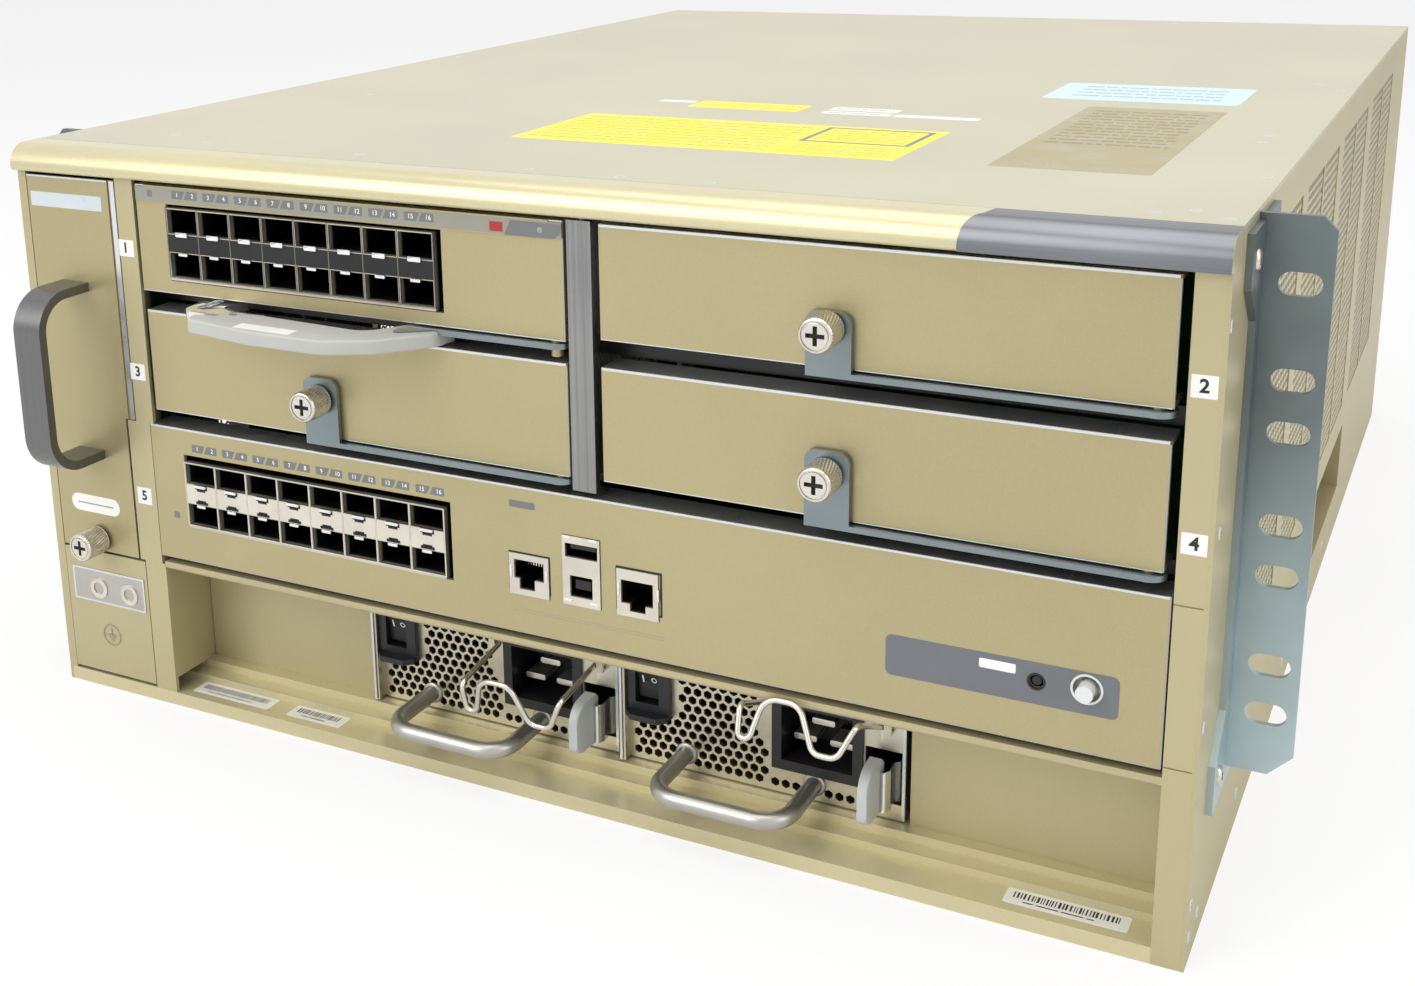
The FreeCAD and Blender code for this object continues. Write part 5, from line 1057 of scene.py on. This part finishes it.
def ruled(piece, level, box, rows, finish, seed):
    """Soft ruled dashes standing for fine print, none of it legible."""
    left, right, low, high = box
    step = (high - low) / rows
    for row in range(rows):
        x, value = left, seed + row * 7
        middle = low + step * (row + 0.5)
        while x < right - 1.5:
            value = (value * 37 + 11) % 101
            end = min(x + 2.0 + 6.0 * value / 101, right)
            dash = (x, end, middle - step * 0.17, middle + step * 0.17)
            field(piece, level, dash, finish, kind="top")
            x = end + 0.9


COVER_TOP = 221.44
COVER_FIELDS = (
    ((-48, 100, 78, 142), 0, 1.0),
    ((-20, 28, 172, 190), 0, 0.8),
    ((38, 66, 172, 179), 2, 0.6),
    ((38, 66, 182, 190), 2, 0.6),
    ((-38, -22, 183, 188), 2, 0.5),
    ((67.7, 101, 172, 178), 2, 0.5),
    ((107, 184, 242, 293), 4, 3.0),
    ((131, 183, 80, 224), 6, 0.8),
)
COVER_PRINT = (
    ((59, 92, 110, 135), 5, 1, 5),
    ((-44, 50, 82, 138), 9, 1, 17),
    ((57, 94, 82, 101), 4, 1, 31),
    ((-2, 25, 175, 187), 3, 1, 3),
    ((40, 64, 173, 178), 1, 3, 9),
    ((40, 64, 184, 189), 1, 3, 19),
    ((117, 176, 250, 287), 4, 5, 41),
    ((136, 178, 130, 216), 12, 7, 23),
)


def cover_labels():
    """Plain coloured fields on the cover, with dashes in place of their print."""
    piece = Piece("cover_labels", "label_yellow", "label_yellow_line", "label_white", "label_line",
                  "label_sky", "label_sky_line", "label_olive", "label_olive_line", "tag")
    for box, finish, radius in COVER_FIELDS:
        field(piece, COVER_TOP, box, finish, 0.09, radius, kind="top")
    frame_line = pierced(rectangle(55, 96, 106, 139), [rectangle(57, 94, 108, 137)], 0, 0.12)
    piece.add(frame_line, plane("top", 0, 0, COVER_TOP), 8)
    for box, rows, finish, seed in COVER_PRINT:
        ruled(piece, COVER_TOP + 0.04, box, rows, finish, seed)
    piece.done("chassis")


cover_labels()


def shelf_labels():
    """White labels on the front shelf, with plain bars and dashes."""
    piece = Piece("shelf_labels", "label_white", "label_line", "ink")
    for left, right in ((-159, -122), (-113, -88), (165, 203)):
        field(piece, 5.46, (left, right, 4, 12.5), 0, 0.1, 1.0, kind="top")
        x, value = left + 2.5, int(abs(left))
        while x < right - 3:
            value = (value * 29 + 7) % 97
            wide = 0.25 + 0.5 * value / 97
            field(piece, 5.5, (x, x + wide, 7.6, 10.9), 2, 0.08, kind="top")
            x += wide + 0.35 + 0.4 * ((value * 3) % 7) / 7
        ruled(piece, 5.5, (left + 6, right - 8, 5.2, 6.9), 1, 1, 3)
    piece.done("chassis")


shelf_labels()


# ---- ejector lever grip and latch
def lever_grip():
    """Moulded grip: bowed bar with softly rolled edges, and its small bare label."""
    corners = [(-28.2, 6.0), (-43.2, 4.8), (-54.0, -11.4), (-97.0, -8.6), (-115.0, -8.6), (-115.0, -15.0),
               (-124.0, -17.0), (-121.5, -23.0), (-92.0, -28.0), (-60.0, -28.0), (-44.0, -20.0),
               (-30.5, -4.5)]
    radii = [1.0, 4.0, 10.0, 2.0, 1.0, 1.0, 1.6, 2.5, 18.0, 18.0, 16.0, 4.0]
    bottom, top = 163.4, 168.6
    piece = Piece("port_card_soft_grip", "grip", "label_white")
    bar = prism(rounded_outline(corners, radii)[::-1], bottom, top)
    outward(bar)
    soften(bar, [edge for face in bar.faces if len(face.verts) > 4 for edge in face.edges], 0.9, 4, 0.55)
    piece.add(bar, plane("top", 0, 0, 0))
    film(piece, "top", (0, 0, top), [(-99, -25.6), (-75, -26.0), (-75, -20.4), (-99, -20.0)], 1)
    piece.done("port_card_lever", ("port_card_lever_grip",), smooth=45)


lever_grip()


def latch_loop():
    """Cast spring latch: a bright plate with its eye."""
    corners = [(-99.0, -14.4), (-122.0, -14.4), (-132.0, -13.2), (-134.2, 1.6), (-130.0, 8.5), (-117.6, 8.5),
               (-120.8, -5.0), (-113.0, -7.6), (-99.0, -7.6)]
    outline = rounded_outline(corners, [0.6, 6, 5, 4, 3, 2, 3, 3, 0.6])
    eye = rounded_outline([(-129.8, -9.0), (-125.4, -9.0), (-125.4, 3.2), (-129.8, 3.2)], 2.0)
    piece = Piece("port_card_latch_loop", "chrome")
    bm = pierced(outline, [eye], 164.9, 168.4)
    sharp = [edge for edge in bm.edges if len(edge.link_faces) == 2 and edge.calc_face_angle(0) > 1.2
             and abs(edge.verts[0].co.z - edge.verts[1].co.z) < 0.01]
    soften(bm, sharp, 0.55, 3)
    piece.add(bm, plane("top", 0, 0, 0))
    pin = lathe([(0, 0), (2.0, 0), (2.0, 0.2), (1.5, 0.45), (0, 0.5)], 28)
    piece.add(pin, plane("top", -110.0, -11.4, 168.3))
    piece.done("port_card_latch", ("port_card_latch",), smooth=45)


latch_loop()


# ---- stage, light and camera
def floor_material():
    """Matt white that also glows towards the camera, so it reads as paper and keeps its shadow."""
    mat, tree, shader = new_material("studio_floor")
    shader.inputs["Base Color"].default_value = (0.86, 0.86, 0.86, 1)
    shader.inputs["Roughness"].default_value = 0.9
    glow = node(tree, "ShaderNodeEmission", Strength=1.0)
    path = tree.nodes.new("ShaderNodeLightPath")
    mix = tree.nodes.new("ShaderNodeMixShader")
    out = [n for n in tree.nodes if n.type == "OUTPUT_MATERIAL"][0]
    tree.links.new(maths(tree, "MULTIPLY", path.outputs["Is Camera Ray"], 0.75), mix.inputs["Fac"])
    tree.links.new(shader.outputs["BSDF"], mix.inputs[1])
    tree.links.new(glow.outputs["Emission"], mix.inputs[2])
    tree.links.new(mix.outputs["Shader"], out.inputs["Surface"])
    return mat


def make_floor():
    mesh = bpy.data.meshes.new("studio_floor")
    half = 6.0
    corners = [(-half, -half, 0), (half, -half, 0), (half, half, 0), (-half, half, 0)]
    mesh.from_pydata(corners, [], [(0, 1, 2, 3)])
    mesh.materials.append(floor_material())
    new_object("studio_floor", mesh)


def make_world():
    """White to the camera and in reflections, softer as light."""
    world = bpy.data.worlds.new("studio")
    bpy.context.scene.world = world
    world.use_nodes = True
    tree = world.node_tree
    tree.nodes.clear()
    out = tree.nodes.new("ShaderNodeOutputWorld")
    soft = node(tree, "ShaderNodeBackground", Strength=0.55)
    white = node(tree, "ShaderNodeBackground", Strength=1.0)
    for background in (soft, white):
        background.inputs["Color"].default_value = (1, 1, 1, 1)
    path = tree.nodes.new("ShaderNodeLightPath")
    direct = maths(tree, "MAXIMUM", path.outputs["Is Camera Ray"], path.outputs["Is Transmission Ray"])
    mix = tree.nodes.new("ShaderNodeMixShader")
    tree.links.new(maths(tree, "MAXIMUM", direct, path.outputs["Is Glossy Ray"]), mix.inputs["Fac"])
    tree.links.new(soft.outputs["Background"], mix.inputs[1])
    tree.links.new(white.outputs["Background"], mix.inputs[2])
    tree.links.new(mix.outputs["Shader"], out.inputs["Surface"])


def area_light(name, place, target, side, power):
    data = bpy.data.lights.new(name, "AREA")
    data.shape = "RECTANGLE"
    data.size = data.size_y = side
    data.energy = power
    lamp = new_object(name, data)
    lamp.location = place
    lamp.rotation_euler = (Vector(target) - Vector(place)).to_track_quat("-Z", "Y").to_euler()


def make_camera():
    """Camera fitted to the photograph, written as its right, down and forward directions."""
    data = bpy.data.cameras.new("photo_view")
    camera = new_object("photo_view", data)
    right = Vector((0.879186, 0.47589, -0.023665))
    down = Vector((0.100663, -0.234058, -0.966997))
    ahead = Vector((-0.465723, 0.847789, -0.253685))
    turn = Matrix((right, -down, -ahead)).transposed()
    camera.matrix_world = Matrix.Translation((0.286004, -0.763385, 0.321792)) @ turn.to_4x4()
    data.sensor_width = 36.0
    data.lens = 44.40
    data.shift_x = 0.0842
    data.shift_y = -0.1269
    data.clip_start = 0.01
    bpy.context.scene.camera = camera


make_floor()
make_world()
area_light("overhead", (0.1, -0.1, 1.9), (0, 0, 0.1), 1.8, 22)
area_light("front_left", (-0.9, -1.8, 1.25), (0, -0.2, 0.1), 1.4, 24)
area_light("right_fill", (1.7, -0.4, 0.9), (0, 0, 0.1), 1.2, 9)
make_camera()
bpy.context.scene.view_settings.view_transform = "Standard"
